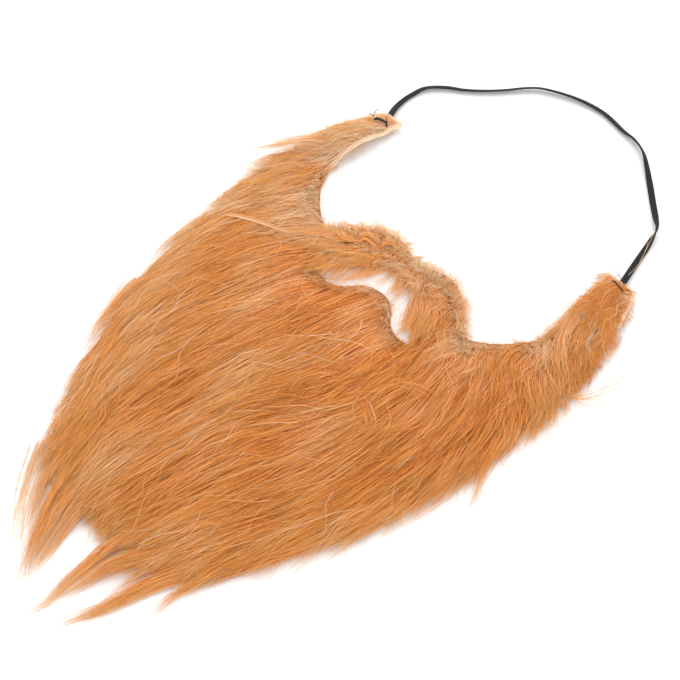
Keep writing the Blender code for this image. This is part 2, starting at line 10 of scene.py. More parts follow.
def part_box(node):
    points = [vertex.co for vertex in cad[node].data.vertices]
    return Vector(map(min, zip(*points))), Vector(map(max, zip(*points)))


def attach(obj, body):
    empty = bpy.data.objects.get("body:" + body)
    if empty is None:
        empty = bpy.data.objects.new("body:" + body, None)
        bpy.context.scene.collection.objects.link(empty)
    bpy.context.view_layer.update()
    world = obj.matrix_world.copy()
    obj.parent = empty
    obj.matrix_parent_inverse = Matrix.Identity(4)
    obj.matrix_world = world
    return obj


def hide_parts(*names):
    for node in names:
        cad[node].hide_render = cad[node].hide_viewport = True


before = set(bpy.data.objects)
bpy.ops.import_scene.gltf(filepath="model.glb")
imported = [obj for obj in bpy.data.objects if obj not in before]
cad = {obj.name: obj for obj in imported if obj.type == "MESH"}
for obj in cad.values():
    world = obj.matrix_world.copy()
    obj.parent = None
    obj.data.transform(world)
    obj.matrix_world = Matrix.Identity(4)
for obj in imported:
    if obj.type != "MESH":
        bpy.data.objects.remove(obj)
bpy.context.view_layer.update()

# The table and the light.
# A white card sweep under a large diffuse tent, as shops photograph small soft goods: almost no shadow, and
# one big soft window high on the far left, which models the fur and darkens the table a little under the left tab.


def linear(hex_colour):
    """An sRGB hex colour as linear red, green, blue and alpha."""
    parts = [int(hex_colour[i : i + 2], 16) / 255 for i in (1, 3, 5)]
    return [*(c / 12.92 if c <= 0.04045 else ((c + 0.055) / 1.055) ** 2.4 for c in parts), 1.0]


def add(tree, kind, inputs={}, **settings):
    """A node with its settings, and its inputs as values or as another node's output to link."""
    node = tree.nodes.new(kind)
    for name, value in settings.items():
        setattr(node, name, value)
    for name, value in inputs.items():
        if isinstance(value, bpy.types.NodeSocket):
            tree.links.new(value, node.inputs[name])
        else:
            node.inputs[name].default_value = value
    return node


def new_finish(name):
    """An empty material, its tree and its output node."""
    finish = bpy.data.materials.new(name)
    finish.use_nodes = True
    tree = finish.node_tree
    tree.nodes.clear()
    return finish, tree, add(tree, "ShaderNodeOutputMaterial")


bpy.ops.object.select_all(action="DESELECT")
bpy.ops.mesh.primitive_plane_add(size=8.0, location=(0.0, 0.0, -0.0004))
table = bpy.context.object
table.name = "white_table"
bpy.ops.object.transform_apply(location=True, rotation=False, scale=False)
card, tree, out = new_finish("matt_white_card")
shade = add(tree, "ShaderNodeBsdfPrincipled", {"Base Color": linear("#F4F3F3"), "Roughness": 0.9})
tree.links.new(shade.outputs["BSDF"], out.inputs["Surface"])
table.data.materials.append(card)

world = bpy.data.worlds.new("light_tent")
world.use_nodes = True
tent = world.node_tree.nodes["Background"]
tent.inputs["Color"].default_value = (1.0, 1.0, 1.0, 1.0)
tent.inputs["Strength"].default_value = 1.2
bpy.context.scene.world = world

WINDOW_AT = Vector((-0.75, 0.75, 1.25))
window = bpy.data.lights.new("soft_window", "AREA")
window.size = 1.5
window.energy = 9.5
window_stand = bpy.data.objects.new("soft_window", window)
bpy.context.scene.collection.objects.link(window_stand)
window_stand.location = WINDOW_AT
window_stand.rotation_euler = WINDOW_AT.to_track_quat("Z", "Y").to_euler()
bpy.context.scene.view_settings.view_transform = "Standard"

# The camera: a long lens 0.9 m off, looking down at 55 degrees over the beard's right cheek, 45 degrees round from
# its tips.
LOOK_AT = Vector((0.006, 0.041, 0.0))
CAMERA_FAR = 0.9
MM_A_PIXEL = 0.58
PIXELS = 680
SENSOR = 36.0
camera_down = math.radians(55)
camera_round = math.radians(45)
toward = Vector((
    math.sin(camera_round) * math.cos(camera_down),
    -math.cos(camera_round) * math.cos(camera_down),
    math.sin(camera_down),
))
lens = bpy.data.cameras.new("camera")
lens.sensor_width = SENSOR
lens.lens = CAMERA_FAR / (MM_A_PIXEL / 1000) * SENSOR / PIXELS
camera = bpy.data.objects.new("camera", lens)
bpy.context.scene.collection.objects.link(camera)
camera.location = LOOK_AT + toward * CAMERA_FAR
camera.rotation_euler = toward.to_track_quat("Z", "Y").to_euler()
bpy.context.scene.camera = camera

# The elastic: a black flat braided elastic, about 4 mm wide, cut to length and sewn under both tabs.
# It is limp and lies as it fell, leaning on one edge round the back of the loop and folded over near the right tab.
# The middle of its way follows the band's middle line, which a scratch script traced in the photo.
BAND_WIDE = 0.0042
BAND_THICK = 0.0009
BAND_UNDER = 0.0003
BAND_OFF_TABLE = 0.0001
BAND_RIBS = 6
BAND_STEPS = 260
BAND_WAY = (  # x, y, height over the table or None under a tab, lean in degrees
    (-0.0905, 0.1680, None, 0),
    (-0.0915, 0.1765, None, 0),
    (-0.0940, 0.1860, None, 0),
    (-0.0972, 0.1945, 0.0010, 6),
    (-0.0986, 0.2035, 0.0002, 12),
    (-0.0981, 0.2125, 0.0000, 14),
    (-0.0954, 0.2220, 0.0004, 24),
    (-0.0866, 0.2315, 0.0004, 22),
    (-0.0766, 0.2385, 0.0000, 30),
    (-0.0664, 0.2475, 0.0000, 34),
    (-0.0571, 0.2578, 0.0000, 36),
    (-0.0491, 0.2676, 0.0004, 36),
    (-0.0396, 0.2756, 0.0006, 35),
    (-0.0196, 0.2840, 0.0004, 28),
    (0.0000, 0.2870, 0.0000, 22),
    (0.0196, 0.2836, 0.0000, 28),
    (0.0296, 0.2821, 0.0006, 42),
    (0.0405, 0.2772, 0.0010, 52),
    (0.0500, 0.2693, 0.0006, 26),
    (0.0600, 0.2601, 0.0000, 8),
    (0.0697, 0.2506, 0.0000, 6),
    (0.0790, 0.2415, 0.0003, 16),
    (0.0850, 0.2345, 0.0006, 70),
    (0.0876, 0.2270, 0.0005, 134),
    (0.0895, 0.2190, 0.0000, 168),
    (0.0916, 0.2090, 0.0002, 174),
    (0.0940, 0.1985, 0.0010, 178),
    (0.0962, 0.1900, None, 180),
    (0.0978, 0.1830, None, 180),
    (0.0990, 0.1745, None, 180),
)


def tree_of(node):
    """A search tree over a node's triangles."""
    return BVHTree.FromPolygons([v.co for v in node.data.vertices], [p.vertices for p in node.data.polygons])


cloth_tree = tree_of(cad["fur_backing"])


def cloth_underside(x, y):
    """Height of the cloth's lower side over a place, or of its nearest edge where there is none."""
    hit = cloth_tree.ray_cast(Vector((x, y, -0.01)), Vector((0.0, 0.0, 1.0)))[0]
    if hit is None:
        hit = cloth_tree.find_nearest(Vector((x, y, 0.0)))[0]
    return hit.z


def band_middle(x, y, rise, lean):
    """Height of the band's middle at a point of its way."""
    if rise is None:
        return cloth_underside(x, y) - BAND_UNDER - BAND_THICK / 2
    turn = math.radians(lean)
    half = BAND_WIDE / 2 * abs(math.sin(turn)) + BAND_THICK / 2 * abs(math.cos(turn))
    return rise + half + BAND_OFF_TABLE


def smooth_way(rows, count):
    """Points evenly spaced along a Catmull-Rom curve through the rows."""
    rows = np.array(rows, float)
    ends = np.vstack([2 * rows[0] - rows[1], rows, 2 * rows[-1] - rows[-2]])
    fine = []
    for i in range(1, len(ends) - 2):
        a, b, c, d = ends[i - 1 : i + 3]
        for t in np.linspace(0.0, 1.0, 12, endpoint=False):
            bend = (2 * a - 5 * b + 4 * c - d) * t**2 + (3 * b - a - 3 * c + d) * t**3
            fine.append(b + 0.5 * ((c - a) * t + bend))
    fine = np.array([*fine, rows[-1]])
    along = np.concatenate([[0.0], np.cumsum(np.linalg.norm(np.diff(fine[:, :3], axis=0), axis=1))])
    at = np.linspace(0.0, along[-1], count)
    return np.stack([np.interp(at, along, column) for column in fine.T], axis=1)


def mesh_from(name, places, faces, smooth=True, **readings):
    """A joined mesh from arrays, with a number for each vertex under each reading's name."""
    mesh = bpy.data.meshes.new(name)
    mesh.vertices.add(len(places))
    mesh.vertices.foreach_set("co", np.asarray(places, np.float32).ravel())
    sides = faces.shape[1]
    mesh.loops.add(faces.size)
    mesh.loops.foreach_set("vertex_index", faces.ravel().astype(np.int32))
    mesh.polygons.add(len(faces))
    mesh.polygons.foreach_set("loop_start", np.arange(0, faces.size, sides, dtype=np.int32))
    mesh.polygons.foreach_set("use_smooth", np.full(len(faces), smooth))
    mesh.update(calc_edges=True)
    for reading, values in readings.items():
        mesh.attributes.new(reading, "FLOAT", "POINT").data.foreach_set("value", values.astype(np.float32))
    made = bpy.data.objects.new(name, mesh)
    bpy.context.scene.collection.objects.link(made)
    return made


rows = [(x, y, band_middle(x, y, rise, lean), lean) for x, y, rise, lean in BAND_WAY]
band_way = smooth_way(rows, BAND_STEPS)
band_line = band_way[:, :3]
ahead = np.gradient(band_line, axis=0)
ahead /= np.linalg.norm(ahead, axis=1)[:, None]
level = np.cross(ahead, (0.0, 0.0, 1.0))
level /= np.linalg.norm(level, axis=1)[:, None]
upward = np.cross(level, ahead)
lean = np.radians(band_way[:, 3])[:, None]
across = level * np.cos(lean) + upward * np.sin(lean)
out_of = upward * np.cos(lean) - level * np.sin(lean)
ring = []
RIB_POINTS = BAND_RIBS * 2
for side in (1, -1):
    for i in range(RIB_POINTS + 1):
        share = side * (1 - 2 * i / RIB_POINTS)
        rib = 0.80 + 0.20 * abs(math.sin(math.pi * BAND_RIBS * i / RIB_POINTS))
        edge = math.sqrt(max(0.0, 1 - abs(share) ** 10))
        ring.append((share * BAND_WIDE / 2, side * rib * edge * BAND_THICK / 2))
ring = [p for i, p in enumerate(ring) if i not in (RIB_POINTS, 2 * RIB_POINTS + 1)]
ring = np.array(ring)
places = (
    band_line[:, None]
    + across[:, None] * ring[None, :, 0, None]
    + out_of[:, None] * ring[None, :, 1, None]
)
count, round_it = len(band_line), len(ring)
i, j = np.meshgrid(np.arange(count - 1), np.arange(round_it), indexing="ij")
here, beside = i * round_it + j, i * round_it + (j + 1) % round_it
quads = np.stack([here, beside, beside + round_it, here + round_it], axis=-1).reshape(-1, 4)
tri = np.concatenate([quads[:, [0, 1, 2]], quads[:, [0, 2, 3]]])
caps = [[0, k + 1, k] for k in range(1, round_it - 1)]
last = (count - 1) * round_it
caps += [[last, last + k, last + k + 1] for k in range(1, round_it - 1)]
faces = np.concatenate([tri, np.array(caps)])
band_length = float(np.linalg.norm(np.diff(band_line, axis=0), axis=1).sum())
run = np.repeat(np.linspace(0.0, band_length, count), round_it)
offset = np.tile(ring[:, 0], count)
elastic = mesh_from("elastic_band_braid", places.reshape(-1, 3), faces, run=run, offset=offset)

# Braided polyester over rubber: matt black with a faint sheen. The braid's stitches are 1.1 mm long and slant
# across its ribs.
STITCH_LONG = 0.0011
STITCH_SLANT = 0.9
elastic_finish, tree, out = new_finish("black_braided_elastic")
run_at = add(tree, "ShaderNodeAttribute", attribute_name="run")
over = add(tree, "ShaderNodeAttribute", attribute_name="offset")
slant = add(
    tree,
    "ShaderNodeMath",
    {0: over.outputs["Fac"], 1: STITCH_SLANT, 2: run_at.outputs["Fac"]},
    operation="MULTIPLY_ADD",
)
weave = add(tree, "ShaderNodeMath", {0: slant.outputs[0], 1: math.tau / STITCH_LONG}, operation="MULTIPLY")
wave = add(tree, "ShaderNodeMath", {0: weave.outputs[0]}, operation="SINE")
bump = add(tree, "ShaderNodeBump", {"Height": wave.outputs[0], "Strength": 0.5, "Distance": 0.00012})
shine = add(
    tree, "ShaderNodeMapRange", {"Value": wave.outputs[0], "From Min": -1.0, "To Min": 0.55, "To Max": 0.75}
)
# Painted shade and highlight: the black is painted darker in the grooves between the ribs and lighter on their tops.
rib_share = math.pi * BAND_RIBS / BAND_WIDE
rib_turn = add(tree, "ShaderNodeMath", {0: over.outputs["Fac"], 1: rib_share}, operation="MULTIPLY")
rib_wave = add(tree, "ShaderNodeMath", {0: rib_turn.outputs[0]}, operation="SINE")
rib_high = add(tree, "ShaderNodeMath", {0: rib_wave.outputs[0]}, operation="ABSOLUTE")
painted_rib_shade = add(
    tree,
    "ShaderNodeMix",
    {"Factor": rib_high.outputs[0], 6: linear("#050506"), 7: linear("#19191C")},
    data_type="RGBA",
)
shade = add(
    tree,
    "ShaderNodeBsdfPrincipled",
    {
        "Base Color": painted_rib_shade.outputs[2],
        "Roughness": shine.outputs["Result"],
        "Specular IOR Level": 0.3,
        "Normal": bump.outputs["Normal"],
    },
)
tree.links.new(shade.outputs["BSDF"], out.inputs["Surface"])
elastic.data.materials.append(elastic_finish)
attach(elastic, "root")
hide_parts("elastic_band")

# The cloth: the knitted ground of the fur fabric, cut in one piece with scissors, fur side up.
# Its cut edge is pale and fluffy, and shows where the left tab arches off the table.
MERGE_WITHIN = 0.00001


def solid_copy(name, node):
    """A copy of a CAD solid with its loose triangles merged, left selected and in edit mode."""
    made = bpy.data.objects.new(name, cad[node].data.copy())
    made.data.materials.clear()
    bpy.context.scene.collection.objects.link(made)
    bpy.ops.object.select_all(action="DESELECT")
    made.select_set(True)
    bpy.context.view_layer.objects.active = made
    bpy.ops.object.mode_set(mode="EDIT")
    bpy.ops.mesh.select_all(action="SELECT")
    bpy.ops.mesh.remove_doubles(threshold=MERGE_WITHIN)
    return made


cloth = solid_copy("knitted_cloth", "fur_backing")
bpy.ops.mesh.normals_make_consistent(inside=False)
bpy.ops.object.mode_set(mode="OBJECT")
bpy.ops.object.shade_smooth_by_angle(angle=math.radians(40))
faces_up = cloth.data.attributes.new("faces_up", "FLOAT", "FACE")
faces_up.data.foreach_set("value", [face.normal.z for face in cloth.data.polygons])
# Undyed polyester weft knit, seen from below and at the cut edge. Its upper side, under the pile, is painted a darker
# ginger brown below the tabs and less on them, as painted shade and the pile's ginger light.
knit, tree, out = new_finish("weft_knit_ground")
where = add(tree, "ShaderNodeTexCoord")
loops = add(
    tree,
    "ShaderNodeTexWave",
    {"Vector": where.outputs["Object"], "Scale": 180.0, "Distortion": 2.0, "Detail": 1.0},
)
blend = add(
    tree,
    "ShaderNodeMix",
    {"Factor": loops.outputs["Fac"], 6: linear("#EBC49C"), 7: linear("#F8E0C6")},
    data_type="RGBA",
)
# Painted shade: upward faces are mixed towards a darker ginger brown, for the shade and ginger light under the pile.
facing = add(tree, "ShaderNodeAttribute", attribute_name="faces_up")
upper = add(tree, "ShaderNodeMapRange", {"Value": facing.outputs["Fac"], "From Min": 0.85, "From Max": 0.97})
spot = add(tree, "ShaderNodeSeparateXYZ", {"Vector": where.outputs["Object"]})
below_tabs = add(
    tree,
    "ShaderNodeMapRange",
    {"Value": spot.outputs["Y"], "From Min": 0.115, "From Max": 0.14, "To Min": 1.0, "To Max": 0.25},
)
painted_pile_shade = add(
    tree, "ShaderNodeMath", {0: upper.outputs["Result"], 1: below_tabs.outputs["Result"]}, operation="MULTIPLY"
)
ground_shade = add(
    tree,
    "ShaderNodeMix",
    {"Factor": painted_pile_shade.outputs[0], 6: blend.outputs[2], 7: linear("#B06C30")},
    data_type="RGBA",
)
bump = add(tree, "ShaderNodeBump", {"Height": loops.outputs["Fac"], "Strength": 0.6, "Distance": 0.0003})
shade = add(
    tree,
    "ShaderNodeBsdfPrincipled",
    {
        "Base Color": ground_shade.outputs[2],
        "Roughness": 0.9,
        "Sheen Weight": 0.2,
        "Normal": bump.outputs["Normal"],
    },
)
tree.links.new(shade.outputs["BSDF"], out.inputs["Surface"])
cloth.data.materials.append(knit)
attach(cloth, "root")
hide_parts("fur_backing")

# The bed of the pile: the dense lower part of the fur, combed down flat, which closes the gaps between the
# loose fibres above it. Acrylic fibre, matt, painted darker than the loose fibres as painted shade in its depth.
BED_VOXEL = 0.0031
bed = solid_copy("pile_bed", "fur_pile")
bpy.ops.object.mode_set(mode="OBJECT")
remesh = bed.modifiers.new("remesh", "REMESH")
remesh.mode = "VOXEL"
remesh.voxel_size = BED_VOXEL
ease = bed.modifiers.new("ease", "SMOOTH")
ease.factor = 0.5
ease.iterations = 4
for modifier in ("remesh", "ease"):
    bpy.ops.object.modifier_apply(modifier=modifier)
bpy.ops.object.shade_smooth()

PITCH = 0.0015
FINE_STEP = 0.002
BROAD_STEP = 0.003
SURVEY_FROM = 0.05
pile_tree = tree_of(cad["fur_pile"])
grid_x = np.arange(-0.152, 0.152, PITCH)
grid_y = np.arange(-0.216, 0.208, PITCH)


def survey(search):
    """Heights where lines straight down first meet a node, on the grid, and nan where they miss."""
    heights = np.full((len(grid_y), len(grid_x)), np.nan)
    for j, y in enumerate(grid_y):
        for i, x in enumerate(grid_x):
            hit = search.ray_cast(Vector((x, y, SURVEY_FROM)), Vector((0.0, 0.0, -1.0)))[0]
            if hit:
                heights[j, i] = hit.z
    return heights


def softened(grid, times):
    """The grid with each value averaged with its neighbours, so many times."""
    for _ in range(times):
        wide = np.pad(grid, 1, mode="edge")
        grid = sum(wide[a : a + grid.shape[0], b : b + grid.shape[1]] for a in range(3) for b in range(3)) / 9
    return grid


def reading(grid, x, y):
    """The grid's value at places, straight between its points."""
    u = np.clip((x - grid_x[0]) / PITCH, 0, len(grid_x) - 1.001)
    v = np.clip((y - grid_y[0]) / PITCH, 0, len(grid_y) - 1.001)
    i, j = u.astype(int), v.astype(int)
    u, v = u - i, v - j
    low = grid[j, i] * (1 - u) + grid[j, i + 1] * u
    high = grid[j + 1, i] * (1 - u) + grid[j + 1, i + 1] * u
    return low * (1 - v) + high * v


def slope(grid, x, y, step):
    """How much the grid's value rises toward +X and toward +Y at places, from a step before to a step past them."""
    toward_x = reading(grid, x + step, y) - reading(grid, x - step, y)
    toward_y = reading(grid, x, y + step) - reading(grid, x, y - step)
    return toward_x, toward_y


def eased(low, high, value):
    """From 0 at low to 1 at high, smooth at both."""
    t = np.clip((value - low) / (high - low), 0.0, 1.0)
    return t * t * (3 - 2 * t)


pile_surface = survey(pile_tree)
cloth_surface = survey(cloth_tree)
on_cloth = ~np.isnan(cloth_surface)
edge_cells = on_cloth & ~(
    np.roll(on_cloth, 1, 0) & np.roll(on_cloth, -1, 0) & np.roll(on_cloth, 1, 1) & np.roll(on_cloth, -1, 1)
)
edge_index = np.argwhere(edge_cells)
edge_search = KDTree(len(edge_index))
for k, (j, i) in enumerate(edge_index):
    edge_search.insert(Vector((grid_x[i], grid_y[j], 0.0)), k)
edge_search.balance()
inset = np.zeros_like(cloth_surface)
for j, y in enumerate(grid_y):
    for i, x in enumerate(grid_x):
        inset[j, i] = edge_search.find(Vector((x, y, 0.0)))[2] * (1 if on_cloth[j, i] else -1)
inset_soft = softened(inset, 3)
RIM_HEIGHT = 0.0042
DROOP = 0.022
hanging = RIM_HEIGHT * eased(-DROOP, 0.0, inset)
crest = softened(np.fmax(np.nan_to_num(pile_surface, nan=0.0), hanging), 2)
ground = softened(np.where(on_cloth, np.nan_to_num(cloth_surface, nan=0.0), 0.0), 1)

# The way the fur is combed, read off the photo.
COMB = (  # x, y, angle from straight down the beard in degrees, length in mm
    (-0.091, 0.182, -30, 22),
    (-0.097, 0.160, -38, 34),
    (-0.104, 0.140, -36, 44),
    (-0.112, 0.120, -32, 44),
    (-0.090, 0.120, -30, 36),
    (-0.078, 0.104, -26, 34),
    (-0.108, 0.095, -20, 46),
    (-0.085, 0.080, -25, 44),
    (-0.062, 0.084, -30, 40),
    (-0.112, 0.060, -10, 50),
    (-0.080, 0.050, -16, 52),
    (-0.050, 0.060, -22, 48),
    (-0.050, 0.030, -13, 56),
    (-0.104, 0.020, -3, 54),
    (-0.095, -0.020, 4, 54),
    (-0.085, -0.055, 13, 54),
    (-0.068, -0.090, 19, 52),
    (-0.040, -0.120, 17, 54),
    (-0.060, -0.020, -8, 56),
    (-0.040, -0.070, -2, 56),
    (-0.020, 0.030, -8, 56),
    (-0.015, -0.030, -9, 58),
    (-0.010, -0.080, -8, 54),
    (-0.008, -0.122, -2, 30),
    (-0.010, 0.112, -38, 22),
    (-0.026, 0.113, -44, 26),
    (-0.042, 0.103, -44, 32),
    (-0.020, 0.103, -36, 26),
    (-0.052, 0.092, -38, 36),
    (0.000, 0.108, 2, 24),
    (0.012, 0.112, 8, 24),
    (0.000, 0.070, -8, 44),
    (0.018, 0.056, -4, 48),
    (0.026, 0.112, 10, 26),
    (0.038, 0.104, 10, 30),
    (0.046, 0.090, 8, 34),
    (0.050, 0.072, 8, 38),
    (0.066, 0.090, 12, 34),
    (0.080, 0.104, 14, 30),
    (0.094, 0.182, -24, 18),
    (0.104, 0.172, -8, 24),
    (0.096, 0.160, -6, 30),
    (0.110, 0.150, 16, 32),
    (0.100, 0.135, 10, 34),
    (0.114, 0.122, 42, 30),
    (0.098, 0.112, 28, 36),
    (0.114, 0.098, 44, 36),
    (0.092, 0.088, 26, 42),
    (0.110, 0.070, 26, 44),
    (0.080, 0.062, 14, 48),
    (0.106, 0.035, 10, 50),
    (0.056, 0.040, 2, 52),
    (0.080, 0.010, -2, 54),
    (0.104, -0.010, -5, 52),
    (0.034, 0.010, -18, 44),
    (0.024, -0.012, -34, 36),
    (0.050, -0.020, -10, 52),
    (0.086, -0.045, -13, 52),
    (0.066, -0.075, -17, 52),
    (0.030, -0.060, -14, 56),
    (0.048, -0.108, -17, 50),
    (0.020, -0.115, -12, 46),
)
comb_x, comb_y, comb_angle, comb_long = np.array(COMB).T


def combed(x, y):
    """The fur's angle in radians and its length in metres at places."""
    near = ((x[:, None] - comb_x) ** 2 + (y[:, None] - comb_y) ** 2 + 0.007**2) ** -2.0
    near /= near.sum(1, keepdims=True)
    return np.radians(near @ comb_angle), near @ comb_long / 1000


def patches(x, y, size, seed):
    """Soft random patches of about that size, from -1 to 1."""
    chance = np.random.default_rng(seed)
    total = np.zeros_like(x)
    for _ in range(9):
        turn, phase, stretch = chance.uniform(0, math.tau), chance.uniform(0, math.tau), chance.uniform(0.7, 1.5)
        total += np.sin((x * math.cos(turn) + y * math.sin(turn)) * math.tau / (size * stretch) + phase)
    return np.clip(total / 4.0, -1, 1)


def scatter(chance, spacing, keep):
    """Places on a shaken grid of that spacing where keep says so."""
    x = np.arange(grid_x[0], grid_x[-1], spacing)
    y = np.arange(grid_y[0], grid_y[-1], spacing)
    x, y = (g.ravel() for g in np.meshgrid(x, y))
    x = x + chance.uniform(-0.55, 0.55, len(x)) * spacing
    y = y + chance.uniform(-0.55, 0.55, len(y)) * spacing
    inside = reading(inset, x, y)
    chosen = keep(x, y, inside)
    return x[chosen], y[chosen]


def bare_rim(x, y):
    """The inner side of the left tab, where the cut cloth shows beside the combed pile."""
    inner_side = slope(inset, x, y, BROAD_STEP)[0] < 0
    return (x < -0.055) & (y > 0.128) & inner_side


MOUTH_X = 0.044
MOUTH_Y = (0.062, 0.101)
LOCK_MARKS = 14
BARE_REACH = -0.0004


def combed_ways(chance, x, y, size=1.0, veer=5.0, wave=5.0, reach_out=0.020, over_mouth=0.004, outward=0.0):
    """Ways of locks that follow the comb from their roots, cut back a little past the edges."""
    angle, length = combed(x, y)
    length = length * size * chance.uniform(0.85, 1.15, len(x))
    off = np.radians(chance.normal(0, veer, len(x)))
    phase = chance.uniform(0, math.tau, len(x))
    allowed = chance.uniform(0.35, 1.0, len(x))
    step = length / (LOCK_MARKS - 1)
    going = np.ones(len(x), bool)
    ways = [np.stack([x, y], axis=1)]
    for k in range(LOCK_MARKS - 1):
        angle = combed(x, y)[0]
        if outward:
            slope_x, slope_y = slope(inset, x, y, FINE_STEP)
            dx, dy = np.sin(angle), -np.cos(angle)
            scale = np.hypot(slope_x, slope_y) + 1e-9
            dx = dx * (1 - outward) - slope_x / scale * outward
            dy = dy * (1 - outward) - slope_y / scale * outward
            angle = np.arctan2(dx, -dy)
        angle = angle + off + np.radians(wave) * np.sin(phase + k * step * math.tau / 0.04)
        past = -reading(inset, x, y)
        in_mouth = (np.abs(x) < MOUTH_X) & (y > MOUTH_Y[0]) & (y < MOUTH_Y[1])
        reach = np.where(in_mouth, over_mouth, np.where(bare_rim(x, y), BARE_REACH, reach_out))
        going &= past < allowed * reach
        x = x + np.where(going, step * np.sin(angle), 0.0)
        y = y - np.where(going, step * np.cos(angle), 0.0)
        ways.append(np.stack([x, y], axis=1))
    return np.stack(ways, axis=1)


def along_ways(ways, owner, share):
    """Places at shares of the length of each fibre's lock."""
    hops = np.linalg.norm(np.diff(ways, axis=1), axis=2)
    run = np.concatenate([np.zeros((len(ways), 1)), np.cumsum(hops, axis=1)], axis=1)
    length = run[:, -1]
    wanted = share * length[owner][:, None]
    low = (run[owner][:, None, :] <= wanted[:, :, None]).sum(2) - 1
    low = np.clip(low, 0, ways.shape[1] - 2)
    rows = owner[:, None]
    hop = np.maximum(run[rows, low + 1] - run[rows, low], 1e-9)
    part = np.clip((wanted - run[rows, low]) / hop, 0, 1)[..., None]
    return ways[rows, low] * (1 - part) + ways[rows, low + 1] * part, length


def grow(name, chance, ways, each, spread, gather, wide, points, layers=(0.55, 1.12), rise=0.005, pale=0.0,
         curl=0.0004, shortest=0.72, mixed=0.13, level=False):
    """Fibres in locks: each lock's fibres start within its spread and gather towards its tip."""
    locks = len(ways)
    owner = np.repeat(np.arange(locks), each)
    total = len(owner)
    share = np.linspace(0, 1, points)[None] * chance.uniform(shortest, 1.0, total)[:, None]
    line, length = along_ways(ways, owner, share)
    off_turn = chance.uniform(0, math.tau, total)
    off_far = spread * chance.uniform(0.6, 1.4, locks)[owner] * np.sqrt(chance.uniform(0, 1, total))
    off = np.stack([off_far * np.cos(off_turn), off_far * np.sin(off_turn)], axis=1)
    drawn = 1 - gather * share**0.9 * chance.uniform(0.6, 1.1, total)[:, None]
    bend = share * chance.uniform(5, 16, total)[:, None] + chance.uniform(0, math.tau, total)[:, None]
    line = line + off[:, None] * drawn[..., None] + (curl * share * np.sin(bend))[..., None] * np.array([1.5, 1.0])
    x, y = line[..., 0], line[..., 1]
    layer = chance.uniform(*layers, total)[:, None]
    floor_z = reading(ground, x, y)
    over_z = np.maximum(reading(crest, x, y) - floor_z, 0.0)
    if level:
        floor_z, over_z = floor_z[:, :1] + 0 * x, over_z[:, :1] + 0 * x
    raised = 1 - np.exp(-share * length[owner][:, None] / rise)
    z = floor_z + over_z * layer * raised * (1 - 0.15 * share**2)
    for _ in range(2):
        z[:, 1:-1] = 0.25 * z[:, :-2] + 0.5 * z[:, 1:-1] + 0.25 * z[:, 2:]
    z = np.maximum(z, floor_z + 0.0003 + wide * 0.4)
    line = np.stack([x, y, z], axis=-1)
    tangent = np.gradient(line, axis=1)
    tangent /= np.linalg.norm(tangent, axis=-1, keepdims=True) + 1e-9
    side = np.cross(tangent, (0.0, 0.0, 1.0))
    side /= np.linalg.norm(side, axis=-1, keepdims=True) + 1e-9
    normal = np.cross(side, tangent)
    roll = chance.uniform(-0.6, 0.6, total)[:, None, None]
    side, normal = side * np.cos(roll) + normal * np.sin(roll), normal * np.cos(roll) - side * np.sin(roll)
    t = np.linspace(0, 1, points)
    swell = np.minimum(1.0, 0.75 + t) * (1 - t**3.0)
    thick = (wide * chance.uniform(0.7, 1.3, total))[:, None] * swell[None]
    rim = [(0.5, -0.25), (-0.5, -0.25), (0.0, 0.4)]
    rings = [line + side * (a * thick)[..., None] + normal * (b * thick)[..., None] for a, b in rim]
    rings = np.stack(rings, axis=2)[:, :-1].reshape(total, -1, 3)
    places = np.concatenate([rings, line[:, -1:]], axis=1)
    faces = [(0, 2, 1)]
    for k in range(points - 2):
        for a in range(3):
            b = (a + 1) % 3
            faces.append((3 * k + a, 3 * k + b, 3 * k + 3 + b))
            faces.append((3 * k + a, 3 * k + 3 + b, 3 * k + 3 + a))
    tip = 3 * (points - 1)
    faces += [(tip - 3 + a, tip - 3 + (a + 1) % 3, tip) for a in range(3)]
    faces = np.array(faces)[None] + (np.arange(total) * (tip + 1))[:, None, None]
    root_x, root_y = ways[:, 0, 0], ways[:, 0, 1]
    tone = (
        0.50
        + 0.16 * patches(root_x, root_y, 0.05, 3)[owner]
        + 0.10 * chance.normal(0, 1, locks)[owner]
        + mixed * chance.normal(0, 1, total)
        - 0.9 * root_x[owner]
        + pale
    )
    tone = np.repeat(np.clip(tone, 0, 1), tip + 1)
    tip_share = np.tile(np.concatenate([np.repeat(t[:-1], 3), [1.0]]), total)
    made = mesh_from(name, places.reshape(-1, 3), faces.reshape(-1, 3), tone=tone, tip=tip_share)
    made.data.materials.append(fur_finish)
    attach(made, "root")
    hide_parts("fur_pile")
    return made


# Ginger acrylic pile, spun-dyed: each fibre has its own shade, with a soft silky gloss along it. Each fibre is also
# painted darker at its root, for the shade deep in the pile, and pale at its fine tip, for light glowing through it.
fur_finish, tree, out = new_finish("combed_acrylic_pile")
tone = add(tree, "ShaderNodeAttribute", attribute_name="tone")
tip = add(tree, "ShaderNodeAttribute", attribute_name="tip")
shades = add(tree, "ShaderNodeValToRGB", {"Fac": tone.outputs["Fac"]})
ramp = shades.color_ramp
ramp.elements[0].color = linear("#CE6F29")
ramp.elements[0].position = 0.08
ramp.elements[1].color = linear("#FFE2BE")
ramp.elements[1].position = 0.98
for position, hex_colour in ((0.32, "#EE913D"), (0.55, "#FDAD5A"), (0.78, "#FFC48A")):
    ramp.elements.new(position).color = linear(hex_colour)
